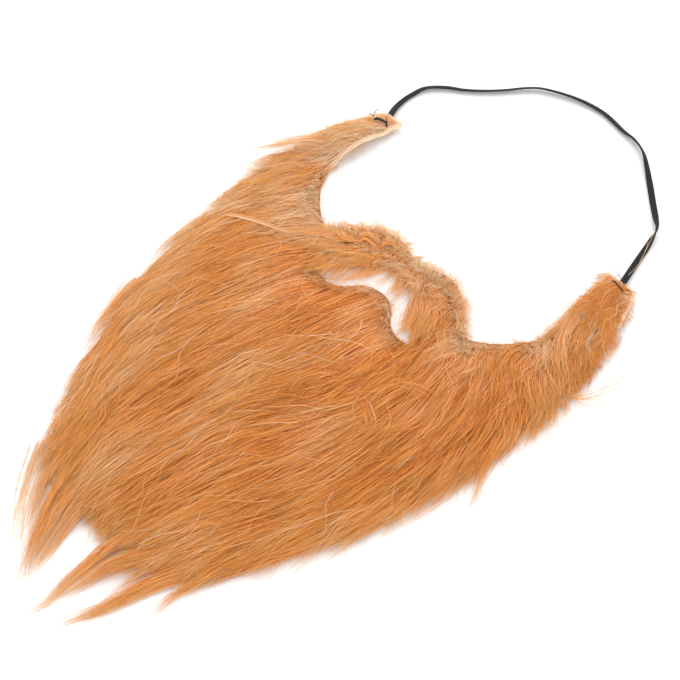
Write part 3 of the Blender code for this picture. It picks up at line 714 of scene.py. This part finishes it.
# Painted glow: the outer part of each fibre is mixed towards a pale gold, for the light through its fine tip.
tip_glow_share = add(tree, "ShaderNodeMapRange", {"Value": tip.outputs["Fac"], "From Min": 0.4, "To Max": 0.6})
painted_tip_glow = add(
    tree,
    "ShaderNodeMix",
    {"Factor": tip_glow_share.outputs["Result"], 6: shades.outputs["Color"], 7: linear("#FFCB78")},
    data_type="RGBA",
)
# Painted shade: the first quarter of each fibre is mixed up to a third of the way towards a darker brown.
root = add(
    tree, "ShaderNodeMapRange", {"Value": tip.outputs["Fac"], "From Max": 0.25, "To Min": 0.35, "To Max": 0.0}
)
painted_root_shade = add(
    tree,
    "ShaderNodeMix",
    {"Factor": root.outputs["Result"], 6: painted_tip_glow.outputs[2], 7: linear("#BC6628")},
    data_type="RGBA",
)
shade = add(
    tree,
    "ShaderNodeBsdfPrincipled",
    {"Base Color": painted_root_shade.outputs[2], "Roughness": 0.6, "Specular IOR Level": 0.15},
)
tree.links.new(shade.outputs["BSDF"], out.inputs["Surface"])

# The bed's depth of dense fibres: streaks along the comb, with painted specks of light and shade between fibre ends.
# Painted shade: its browns are darker than the loose fibres', for the shade deep in the pile.
bed_finish, tree, out = new_finish("dense_pile_depth")
where = add(tree, "ShaderNodeTexCoord")
stretch = add(tree, "ShaderNodeMapping", {"Vector": where.outputs["Object"], "Scale": (900.0, 60.0, 300.0)})
streaks = add(tree, "ShaderNodeTexNoise", {"Vector": stretch.outputs["Vector"], "Scale": 1.0, "Detail": 3.0})
specks = add(tree, "ShaderNodeTexNoise", {"Vector": where.outputs["Object"], "Scale": 1100.0, "Detail": 2.0})
both = add(tree, "ShaderNodeMath", {0: streaks.outputs["Fac"], 1: specks.outputs["Fac"]})
even = add(tree, "ShaderNodeMapRange", {"Value": both.outputs[0], "From Min": 0.7, "From Max": 1.3})
blend = add(
    tree,
    "ShaderNodeMix",
    {"Factor": even.outputs["Result"], 6: linear("#A45A26"), 7: linear("#DE9652")},
    data_type="RGBA",
)
shade = add(tree, "ShaderNodeBsdfPrincipled", {"Base Color": blend.outputs[2], "Roughness": 0.8})
tree.links.new(shade.outputs["BSDF"], out.inputs["Surface"])
bed.data.materials.append(bed_finish)
BED_RIM_SHARE = 0.15
BED_SHARE = 0.50
BED_RISES_OVER = 0.018
BED_SINK = 0.0010
BED_INSET = 0.0028
BED_LOWEST = 0.0003
sunk = np.empty(len(bed.data.vertices) * 3, np.float32)
bed.data.vertices.foreach_get("co", sunk)
sunk = sunk.reshape(-1, 3).astype(float)
facing = np.array([v.normal for v in bed.data.vertices])
here = reading(inset, sunk[:, 0], sunk[:, 1])
base = reading(ground, sunk[:, 0], sunk[:, 1])
over = np.maximum(sunk[:, 2] - base, 0.0)
kept = over * (BED_RIM_SHARE + BED_SHARE * eased(0.0, BED_RISES_OVER, here))
sunk[:, 2] = base + np.maximum(kept - BED_SINK * eased(0.2, 0.8, facing[:, 2]), 0.0)
for k in np.flatnonzero(here < BED_INSET):
    rim = edge_search.find(Vector((sunk[k, 0], sunk[k, 1], 0.0)))[0]
    near = np.array([[rim.x, rim.y]])
    inward = np.array(slope(inset_soft, near[:, 0], near[:, 1], BROAD_STEP))[:, 0]
    inward /= np.linalg.norm(inward) + 1e-9
    sunk[k, :2] = near[0] + inward * (BED_INSET - 0.001 * min(1.0, (BED_INSET - here[k]) / 0.01))
sunk[:, 2] = np.maximum(sunk[:, 2], BED_LOWEST)
bed.data.vertices.foreach_set("co", sunk.ravel())
bed.data.update()
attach(bed, "root")
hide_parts("fur_pile")

# The chin's and cheeks' pile: long straight fibres, mostly 50 to 70 mm, combed down in thin overlapping locks.
# The real fibre is about 0.05 mm thick; each one drawn stands for a small bundle, 0.27 mm wide.
FIBRE_WIDE = 0.00027
TABS_FROM = 0.086
BODY_PARTS = (("chin_left", -0.2, -0.032), ("chin_middle", -0.032, 0.030), ("chin_right", 0.030, 0.2))
for part, low_x, high_x in BODY_PARTS:
    chance = np.random.default_rng(11)
    x, y = scatter(
        chance, 0.0062, lambda x, y, inside: (inside > -0.0005) & (y < TABS_FROM) & (x >= low_x) & (x < high_x)
    )
    ways = combed_ways(chance, x, y, size=1.2, veer=4.5, wave=3.5, reach_out=0.008)
    grow(f"fur_{part}", chance, ways, each=18, spread=0.0052, gather=0.42, wide=FIBRE_WIDE, points=5,
         mixed=0.12, pale=0.05)

# The tabs' pile: shorter, 18 to 45 mm, and bent outwards over both cut edges.
TAB_PARTS = (("tab_left", -0.2, -0.052, 0.24), ("tab_right", 0.052, 0.2, 0.15))  # name, from x, to x, paler
for part, low_x, high_x, paler in TAB_PARTS:
    chance = np.random.default_rng(12)
    x, y = scatter(
        chance, 0.0050, lambda x, y, inside: (inside > 0) & (y >= TABS_FROM) & (x >= low_x) & (x < high_x)
    )
    ways = combed_ways(chance, x, y, veer=14.0, wave=12.0, reach_out=0.0035)
    grow(f"fur_{part}", chance, ways, each=18, spread=0.0044, gather=0.2, wide=FIBRE_WIDE, points=5,
         mixed=0.15, curl=0.0010, pale=paler)

# The moustache's pile: 20 to 32 mm, matted and curling over the left lobe, and hanging over the mouth's middle.
chance = np.random.default_rng(13)


def long_moustache(x, y, inside):
    lobes = (y > 0.101) | ((x > 0.006) & (y > 0.090))
    return (inside > 0) & (y >= TABS_FROM) & (np.abs(x) < 0.052) & ~lobes


x, y = scatter(chance, 0.0042, long_moustache)
ways = combed_ways(chance, x, y, veer=12.0, wave=12.0, size=0.9)
grow("fur_moustache", chance, ways, each=20, spread=0.0036, gather=0.45, wide=FIBRE_WIDE, points=6, mixed=0.15,
     pale=0.20, curl=0.0015)

# The short pile of the right half of the moustache and of the cloth's upper edges stands up, 7 to 11 mm.
chance = np.random.default_rng(18)


def short_pile(x, y, inside):
    lobe = (x > -0.050) & (x < 0.052) & (y > np.where(x > 0.0, 0.080, 0.096))
    return (inside > 0.0) & (lobe | ((inside < 0.011) & (y > 0.078))) & ~(bare_rim(x, y) & (inside < 0.0015))


x, y = scatter(chance, 0.0024, short_pile)
ways = combed_ways(chance, x, y, size=0.30, veer=42.0, wave=14.0, outward=0.20)
grow("fur_short_pile", chance, ways, each=7, spread=0.0028, gather=0.05, wide=0.00028, points=3, layers=(0.7, 1.2),
     rise=0.0035, pale=0.39, mixed=0.13, curl=0.0005, shortest=0.5)

# The moustache's upper rim: fine curly ends, 6 to 12 mm, that stand off the cut edge and blur it.
chance = np.random.default_rng(23)


def moustache_rim(x, y, inside):
    return (inside > 0.0) & (inside < 0.006) & (np.abs(x) < 0.054) & (y > 0.103 - 0.25 * np.abs(x))


x, y = scatter(chance, 0.0023, moustache_rim)
ways = combed_ways(chance, x, y, size=0.34, veer=34.0, wave=16.0, reach_out=0.0075, outward=0.85)
grow("fur_moustache_rim", chance, ways, each=8, spread=0.0024, gather=0.1, wide=0.00024, points=4,
     layers=(0.5, 1.25), rise=0.002, pale=0.42, mixed=0.12, curl=0.0012, level=True)

# The loose hair over the combed pile: light curls on the moustache's left half, hairs that hang from the notch and
# over the mouth, and one light lock across the left cheek. The ways in this table and in the ones below were picked
# by eye in the photo, and a scratch script brought most of them down to the fur's height in mm.
CURLS = (  # fibres, then the way in mm
    (16, ((-51.6, 97.8), (-48.2, 93.5), (-43.2, 91.9), (-39.0, 92.8), (-35.3, 97.6))),
    (12, ((-50.8, 98.6), (-45.0, 94.5), (-40.7, 94.5), (-37.3, 97.9))),
    (18, ((-36.4, 98.7), (-36.3, 102.1), (-33.8, 104.6), (-29.1, 105.0), (-24.7, 103.9))),
    (14, ((-34.8, 97.1), (-32.9, 101.1), (-28.2, 101.5), (-24.9, 101.5))),
    (14, ((-24.9, 105.9), (-22.6, 110.4), (-19.5, 112.4), (-15.4, 113.2))),
    (14, ((-23.1, 102.3), (-21.3, 107.3), (-17.4, 110.1), (-11.9, 111.3))),
    (14, ((-118, 47), (-104, 56), (-85, 64), (-70, 70), (-61, 78), (-56, 94))),
)
FRINGE = (  # fibres, then the way in mm, of the hair that hangs from the moustache over the mouth
    (30, ((-2.5, 106.7), (0.3, 101.1), (2.0, 94.2), (3.6, 87.5), (5.6, 81.2))),
    (30, ((0.2, 107.3), (4.0, 101.5), (6.1, 94.2), (7.3, 87.0), (8.8, 80.3))),
    (24, ((2.9, 107.8), (7.6, 102.0), (10.6, 94.5), (12.2, 87.8))),
    (20, ((4.8, 107.6), (10.3, 102.6), (14.5, 96.4), (16.9, 90.5), (18.7, 86.1))),
    (16, ((-4.7, 105.5), (-3.6, 99.2), (-3.0, 93.5), (-2.4, 87.8))),
    (40, ((12.9, 98.9), (20.0, 91.5), (25.5, 80.6), (28.3, 69.3), (30.7, 61.7))),
    (50, ((19.3, 99.0), (27.1, 92.4), (32.5, 81.6), (35.3, 70.3), (36.7, 63.8))),
    (44, ((28.4, 97.8), (36.3, 89.4), (39.7, 80.7), (42.2, 71.3), (43.5, 66.6))),
    (20, ((15.3, 93.0), (20.5, 85.8), (25.0, 76.1), (27.6, 66.6), (28.0, 62.0))),
    (30, ((36.5, 97.7), (44.3, 89.3), (47.6, 80.6), (49.9, 73.1))),
    (30, ((-28.6, 89.1), (-28.6, 80.6), (-28.5, 72.2), (-27.6, 64.6), (-26.8, 57.2))),
    (50, ((-36.5, 87.5), (-36.4, 77.0), (-35.5, 67.4), (-34.5, 59.8))),
    (50, ((-43.4, 84.6), (-42.5, 73.0), (-40.7, 64.2), (-39.0, 57.5))),
    (16, ((-20.6, 92.9), (-21.6, 85.4), (-22.1, 77.5), (-22.6, 69.6), (-22.8, 63.2))),
    (10, ((-14.5, 96.8), (-14.7, 90.2), (-15.2, 82.3), (-16.0, 76.3))),
)
VEIL = (  # single hairs over the mouth, in mm
    ((-0.9, 99.8), (2.6, 92.8), (5.2, 84.9), (7.8, 77.2)),
    ((15.5, 91.1), (17.2, 82.5), (19.9, 73.0), (23.4, 64.4)),
    ((18.3, 89.8), (22.7, 81.9), (26.1, 73.2), (28.6, 65.6)),
    ((-18.5, 90.7), (-17.4, 81.2), (-18.5, 73.8), (-19.5, 66.5)),
    ((-9.1, 98.0), (-8.0, 88.5), (-8.1, 80.0), (-10.2, 73.8)),
    ((-9.0, 106.8), (-12.4, 94.9), (-18.5, 82.4), (-26.7, 72.1), (-32.4, 64.3)),
    ((-19.4, 98.6), (-25.5, 86.0), (-31.6, 73.5), (-36.2, 64.7)),
)


def way_through(row, marks):
    """A way with that many marks through places in mm."""
    return smooth_way([(px / 1000, py / 1000, 0.0) for px, py in row], marks)[:, :2]


def ways_of(rows, each):
    """A way for every lock of so many fibres, where a row holds its number of fibres and its places in mm."""
    return np.concatenate([[way_through(row, LOCK_MARKS)] * (fibres // each) for fibres, row in rows])


chance = np.random.default_rng(21)
grow("fur_curls", chance, ways_of(CURLS, 2), each=2, spread=0.0014, gather=0.45, wide=0.00028, points=10,
     layers=(0.95, 1.15), rise=0.0015, pale=0.18, shortest=0.8)
grow("fur_mouth_fringe", chance, ways_of(FRINGE, 2), each=2, spread=0.0040, gather=0.25, wide=0.00028, points=7,
     layers=(0.5, 1.05), pale=0.10, curl=0.0010)
veil_ways = np.array([way_through(row, LOCK_MARKS) for row in VEIL])
grow("fur_mouth_veil", chance, veil_ways, each=14, spread=0.0048, gather=0.2, wide=0.00022, points=7,
     layers=(0.2, 0.9), pale=0.22, curl=0.0014)

# The swirls in the right cheek and the curl on the right tab, as if the pile had been crushed: locks that turn
# across the combed ones.
SWIRLS = (  # fibres, then the way in mm
    (40, ((30.2, 23.8), (22.2, 19.4), (15.4, 12.1), (12.4, 2.8), (14.5, -7.9), (20.0, -14.9))),
    (26, ((32.0, 20.2), (26.7, 14.9), (23.0, 8.1), (23.1, 1.9), (27.3, -1.3))),
    (26, ((36.0, 17.9), (35.8, 9.3), (35.6, 0.8), (36.9, -8.2))),
    (20, ((18.7, 2.7), (19.9, -4.5), (21.5, -11.2), (24.6, -18.5))),
    (40, ((62.0, 42.8), (53.3, 39.4), (51.1, 30.9), (52.6, 24.0), (57.9, 16.9))),
    (26, ((74.5, 45.9), (64.8, 43.5), (56.1, 40.1), (51.2, 36.2))),
    (40, ((79.0, 33.9), (77.0, 21.7), (72.5, 14.1), (68.4, 6.0), (68.5, -1.0))),
    (40, ((83.4, 22.0), (77.5, 14.1), (75.3, 5.9), (77.7, -1.7), (85.3, -7.9))),
    (30, ((89.5, 28.0), (97.0, 15.6), (102.1, 4.9), (109.5, -8.9))),
    (30, ((42.8, 16.3), (52.5, 13.6), (61.3, 8.0), (67.5, 0.0))),
    (30, ((71.3, 24.1), (66.1, 18.9), (64.8, 11.5), (68.2, 2.8))),
)
TAB_CURL = (  # fibres, then the way in mm
    (30, ((95.4, 151.2), (94.2, 141.8), (98.9, 127.0), (108.6, 114.6), (120.4, 107.2), (127.6, 107.9))),
    (24, ((96.0, 148.5), (96.9, 134.9), (105.6, 121.3), (116.0, 112.3), (125.5, 109.5))),
    (12, ((109.7, 157.7), (113.3, 148.8), (118.9, 144.0), (120.2, 149.2))),
    (14, ((100.7, 185.0), (94.4, 180.9), (92.3, 169.7), (95.6, 158.9))),
    (14, ((104.0, 184.3), (98.7, 182.6), (95.0, 171.1), (98.3, 159.0), (102.5, 150.5))),
    (14, ((100.0, 178.7), (98.4, 166.8), (102.3, 155.3), (105.0, 143.0))),
)
chance = np.random.default_rng(22)
grow("fur_swirls", chance, ways_of(SWIRLS, 2), each=2, spread=0.0048, gather=0.35, wide=0.00032, points=8,
     layers=(0.8, 1.08), rise=0.002, mixed=0.14, curl=0.0006)
grow("fur_tab_curl", chance, ways_of(TAB_CURL, 2), each=2, spread=0.0040, gather=0.3, wide=0.00026, points=8,
     layers=(0.8, 1.12), rise=0.002, pale=0.20, mixed=0.16, curl=0.0008)

# The tufts past the cut edge: loose tapering locks, the longest at the tips of the beard.
TUFTS = (  # locks, spread at the root in mm, then the way in mm
    (3, 2.0, ((-68, -94), (-62, -113), (-58, -127), (-52, -138), (-46, -148), (-40, -156))),
    (4, 2.5, ((-58, -98), (-54, -118), (-52, -128), (-49, -137), (-48, -144), (-45, -151))),
    (8, 3.0, ((-47, -110), (-43, -130), (-41, -140), (-35, -148), (-27, -158), (-24, -164))),
    (9, 3.5, ((-41, -111), (-34, -130), (-29, -145), (-24, -153), (-15, -169), (-7, -181), (0, -189), (-3, -199))),
    (12, 4.0, ((-28, -114), (-23, -133), (-20, -147), (-16, -158), (-9, -172), (-4, -183), (0, -194))),
    (8, 3.0, ((-15, -116), (-13, -136), (-11, -148), (-8, -162), (-5, -172), (-1, -185), (2, -192))),
    (4, 4.0, ((-2, -110), (0, -132), (0, -141))),
    (2, 1.5, ((-2, -118), (2, -138), (4, -146), (6, -154))),
    (2, 1.5, ((6, -115), (10, -135), (12, -145), (13, -154))),
    (9, 3.5, ((22, -112), (18, -131), (15, -144), (15, -158), (14, -169), (16, -178), (16, -192), (10, -207))),
    (11, 4.0, ((41, -116), (32, -134), (25, -147), (22, -160), (20, -172), (16, -185), (16, -193))),
    (4, 3.0, ((46, -114), (38, -132), (33, -143), (29, -151), (25, -163))),
    (14, 4.5, ((58, -111), (51, -130), (45, -145), (43, -154), (40, -165), (35, -177), (30, -186), (28, -202))),
    (4, 2.5, ((42, -114), (40, -134), (39, -143), (38, -150), (36, -158))),
    (8, 3.0, ((71, -92), (66, -111), (63, -126), (60, -136), (60, -148), (61, -158), (62, -165))),
    (4, 2.5, ((77, -88), (72, -107), (68, -121), (66, -129))),
    (4, 2.5, ((60, -98), (58, -118), (57, -130), (58, -140), (60, -147))),
    (4, 2.0, ((114, 65), (120, 46), (124, 33), (130, 22), (136, 10), (138, 0))),
    (4, 2.0, ((118, 62), (122, 42), (124, 30), (125, 19))),
    (2, 1.5, ((117, 92), (124, 74), (129, 62), (132, 51))),
    (2, 1.5, ((120, 118), (125, 99), (128, 87))),
    (3, 2.0, ((-117, 49), (-118, 29), (-118, 15), (-115, 1), (-112, -9))),
    (4, 2.0, ((-104, 6), (-107, -14), (-108, -26), (-106, -39), (-107, -52))),
    (4, 2.0, ((-111, -15), (-106, -34), (-102, -50), (-95, -66), (-92, -73))),
    (3, 2.0, ((-120, 84), (-120, 64), (-120, 49), (-118, 36))),
    (2, 3.0, ((-114.4, 120.0), (-124.0, 106.1), (-128.6, 91.5), (-129.1, 80.6))),
    (2, 3.0, ((-59.5, -123.8), (-45.4, -145.5), (-25.1, -168.3), (-13.3, -181.6), (-4.0, -196.7))),
    (2, 3.0, ((-47.5, -129.9), (-34.9, -152.5), (-17.3, -173.1), (3.4, -197.3))),
    (8, 4.0, ((104, 128), (113, 118), (122, 113), (130, 113))),
)
TUFT_MARKS = 60
chance = np.random.default_rng(14)
tuft_ways = []
for locks, spread, row in TUFTS:
    for _ in range(locks):
        marks = way_through(row, TUFT_MARKS)
        aside = chance.normal(0, spread / 2000, 2)
        marks += aside * np.linspace(1, chance.uniform(0.0, 0.8), TUFT_MARKS)[:, None]
        stop = int(TUFT_MARKS * chance.uniform(0.80, 1.0))
        tuft_ways.append(marks[np.linspace(0, stop - 1, LOCK_MARKS).astype(int)])
grow("fur_tufts", chance, np.array(tuft_ways), each=13, spread=0.0036, gather=0.5, wide=0.00027, points=7,
     layers=(0.2, 1.05), rise=0.003, shortest=0.45, pale=0.12, curl=0.0012)

# The short fuzz along every cut edge: fine broken fibres, up to 14 mm, painted pale for their glow against the light.
chance = np.random.default_rng(15)
x, y = scatter(chance, 0.0012, lambda x, y, inside: (inside > -0.0003) & (inside < 0.0044) & ~bare_rim(x, y))
ways = combed_ways(chance, x, y, size=0.24, veer=26.0, wave=10.0, outward=0.40)
grow("fur_edge_fuzz", chance, ways, each=2, spread=0.0012, gather=0.0, wide=0.00022, points=3, layers=(0.15, 1.1),
     rise=0.0012, pale=0.26, curl=0.0004, shortest=0.45, level=True)

# The wisps along both sides: fine tapering ends of the longest fibres, blown a little off the outline.
chance = np.random.default_rng(17)


def outer_edge(x, y, inside):
    out_x = -slope(inset, x, y, FINE_STEP)[0]
    return (inside > 0.001) & (inside < 0.016) & (np.abs(x) > 0.03) & (y < 0.175) & ((out_x * x > 0) | (y < 0.05))


x, y = scatter(chance, 0.0066, outer_edge)
ways = combed_ways(chance, x, y, size=0.95, veer=9.0, wave=8.0, reach_out=0.014, outward=0.12)
grow("fur_side_wisps", chance, ways, each=6, spread=0.0036, gather=0.45, wide=0.00028, points=6, layers=(0.4, 1.15),
     pale=0.26, curl=0.0010)

# The flyaways: single long fibres that cross the others or stand off the outline.
chance = np.random.default_rng(16)
x, y = scatter(chance, 0.0135, lambda x, y, inside: inside > 0.0)
ways = combed_ways(chance, x, y, size=1.1, veer=24.0, wave=14.0, reach_out=0.018)
grow("fur_flyaways", chance, ways, each=1, spread=0.002, gather=0.2, wide=0.00030, points=8, layers=(1.0, 1.35),
     pale=0.25, curl=0.002)

FLYAWAYS = (  # fibres, then the way in mm, off the curl below the right tab, then off the left tab
    (5, (
        (119.5, 103.9), (127.7, 105.0), (134.6, 111.9), (138.3, 122.7), (140.9, 137.2), (143.0, 152.6), (144.1, 165.0),
    )),
    (3, ((116.0, 106.9), (126.7, 103.0), (135.6, 108.9), (140.3, 120.7), (143.9, 135.2), (145.0, 148.6))),
    (5, ((122.5, 104.6), (130.7, 105.7), (136.2, 110.0), (140.6, 115.5))),
    (4, ((122.4, 106.9), (132.8, 105.1), (138.7, 111.3), (138.9, 120.9), (137.1, 128.6))),
    (44, ((-96.5, 141.4), (-109.1, 130.4), (-117.6, 119.2), (-125.6, 107.6), (-133.4, 95.9), (-137.3, 90.1))),
    (30, ((-107.3, 140.4), (-115.9, 127.3), (-124.5, 112.3), (-131.1, 99.4))),
    (4, ((-98, 140), (-110, 126), (-122, 120), (-134, 118))),
    (4, ((-98, 150), (-108, 143), (-118, 141), (-126, 143))),
)
chance = np.random.default_rng(19)
grow("fur_tab_flyaways", chance, ways_of(FLYAWAYS, 1), each=1, spread=0.0034, gather=0.25, wide=0.00021, points=14,
     layers=(0.5, 1.15), pale=0.26, curl=0.0010, shortest=0.6, level=True)

# The stitches: black sewing thread, 0.3 to 0.7 mm with its turns pressed together, that ties each end of the elastic
# through its tab.


def tube(name, path, thick, sides=8, close=False):
    """A round wire along a path, its ends capped or joined."""
    path = np.array(path, float)
    count = len(path)
    if close:
        forward = np.roll(path, -1, 0) - np.roll(path, 1, 0)
    else:
        forward = np.gradient(path, axis=0)
    forward /= np.linalg.norm(forward, axis=1, keepdims=True)
    side = np.cross(forward[0], (0.31, 0.17, 0.93))
    rings = []
    for k in range(count):
        side = side - forward[k] * side.dot(forward[k])
        side /= np.linalg.norm(side)
        other = np.cross(forward[k], side)
        turns = np.linspace(0, math.tau, sides, endpoint=False)
        rings.append(path[k] + thick / 2 * (np.cos(turns)[:, None] * side + np.sin(turns)[:, None] * other))
    faces = []
    for k in range(count if close else count - 1):
        for a in range(sides):
            b = (a + 1) % sides
            here, there = k * sides, (k + 1) % count * sides
            faces += [(here + a, here + b, there + b), (here + a, there + b, there + a)]
    if not close:
        faces += [(0, a + 1, a) for a in range(1, sides - 1)]
        last = (count - 1) * sides
        faces += [(last, last + a, last + a + 1) for a in range(1, sides - 1)]
    return mesh_from(name, np.concatenate(rings), np.array(faces))


thread_finish, tree, out = new_finish("black_polyester_thread")
where = add(tree, "ShaderNodeTexCoord")
ply = add(tree, "ShaderNodeTexWave", {"Vector": where.outputs["Object"], "Scale": 500.0}, bands_direction="DIAGONAL")
bump = add(tree, "ShaderNodeBump", {"Height": ply.outputs["Fac"], "Strength": 0.4, "Distance": 0.0001})
shade = add(
    tree,
    "ShaderNodeBsdfPrincipled",
    {"Base Color": linear("#141416"), "Roughness": 0.6, "Normal": bump.outputs["Normal"]},
)
tree.links.new(shade.outputs["BSDF"], out.inputs["Surface"])
STITCHES = (  # node, thread, depth it is pulled into the fur, then its loose ends, in mm
    ("stitch_left", 0.70, 0.3, (
        ((-97.0, 174.2, 9.6), (-97.5, 175.9, 12.0), (-96.9, 178.1, 13.6)),
        ((-100.5, 173.6, 9.6), (-99.4, 173.8, 10.4), (-97.2, 174.3, 9.6)),
        ((-87.8, 177.0, 9.4), (-88.6, 177.8, 10.6), (-90.4, 178.6, 11.2)),
    )),
    ("stitch_right", 0.32, 1.7, (
        ((89.6, 187.1, 9.4), (92.6, 186.5, 9.0), (96.0, 185.2, 8.6), (100.9, 183.0, 8.0)),
        ((103.2, 181.0, 8.0), (107.1, 182.7, 8.2), (110.8, 184.9, 7.2)),
        ((96.6, 182.6, 7.8), (98.4, 183.4, 8.9), (100.1, 183.0, 8.0)),
        ((92.4, 183.4, 7.6), (93.8, 185.4, 9.2), (93.4, 187.6, 10.2)),
    )),
)
TURN = ((-0.93, 0.0), (-1.0, 0.25), (-0.97, 0.95), (-0.5, 1.0), (0.5, 1.0), (0.97, 0.95), (1.0, 0.25), (0.93, 0.0))
for node, thread, pulled, ends in STITCHES:
    low, high = (Vector(corner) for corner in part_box(node))
    thread, top = thread / 1000, high.z - pulled / 1000
    middle = (low + high) / 2
    slope = 1 if node == "stitch_left" else -1
    half = Vector(((high.x - low.x) / 2 - 0.0003, slope * ((high.y - low.y) / 2 - 0.0003), 0.0))
    path = []
    for loop in range(3):
        for along, height in TURN:
            place = middle + half * (along * (0.88 - 0.04 * loop)) + Vector((0.0, thread * 0.9 * (loop - 1), 0.0))
            path.append((place.x, place.y, low.z + thread / 2 + (top - low.z - thread) * height))
    made = tube(f"{node}_thread", smooth_way(path, 120), thread)
    made.data.materials.append(thread_finish)
    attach(made, "root")
    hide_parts(node)
    for number, loose_end in enumerate(ends):
        tail = tube(f"{node}_end_{number}", smooth_way(np.array(loose_end) / 1000, 14), thread * 0.7)
        tail.data.materials.append(thread_finish)
        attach(tail, "root")

# Two fibres of the fur that lie over the elastic where it leaves the right tab: the same acrylic, at its palest.
STRAND_WIDE = 0.00017
for number, row in enumerate((
    ((88.9, 220.9, 5.0), (91.3, 215.3, 2.6), (93.9, 207.4, 2.2), (95.4, 199.6, 3.4), (96.1, 192.8, 4.8)),
    ((86.5, 230.6, 4.8), (89.5, 221.3, 3.8), (92.4, 212.1, 2.4), (94.2, 206.0, 2.2)),
)):
    strand = tube(f"fur_strand_{number}_on_elastic", smooth_way(np.array(row) / 1000, 24), STRAND_WIDE, sides=5)
    # Their readings give them the palest tone and the painted glow of a fibre's tip all along.
    palest = np.full(len(strand.data.vertices), 0.9)
    for name in ("tone", "tip"):
        strand.data.attributes.new(name, "FLOAT", "POINT").data.foreach_set("value", palest)
    strand.data.materials.append(fur_finish)
    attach(strand, "root")

# The staple: galvanised steel wire, 0.7 mm, pressed through the right tab, its crown bedded in the pile.
staple = solid_copy("tab_staple_wire", "tab_staple")
bpy.ops.object.mode_set(mode="OBJECT")
bpy.ops.object.shade_smooth_by_angle(angle=math.radians(50))
steel, tree, out = new_finish("galvanised_steel_wire")
shade = add(
    tree, "ShaderNodeBsdfPrincipled", {"Base Color": linear("#B9B5AE"), "Metallic": 1.0, "Roughness": 0.32}
)
tree.links.new(shade.outputs["BSDF"], out.inputs["Surface"])
staple.data.materials.append(steel)
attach(staple, "root")
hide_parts("tab_staple")
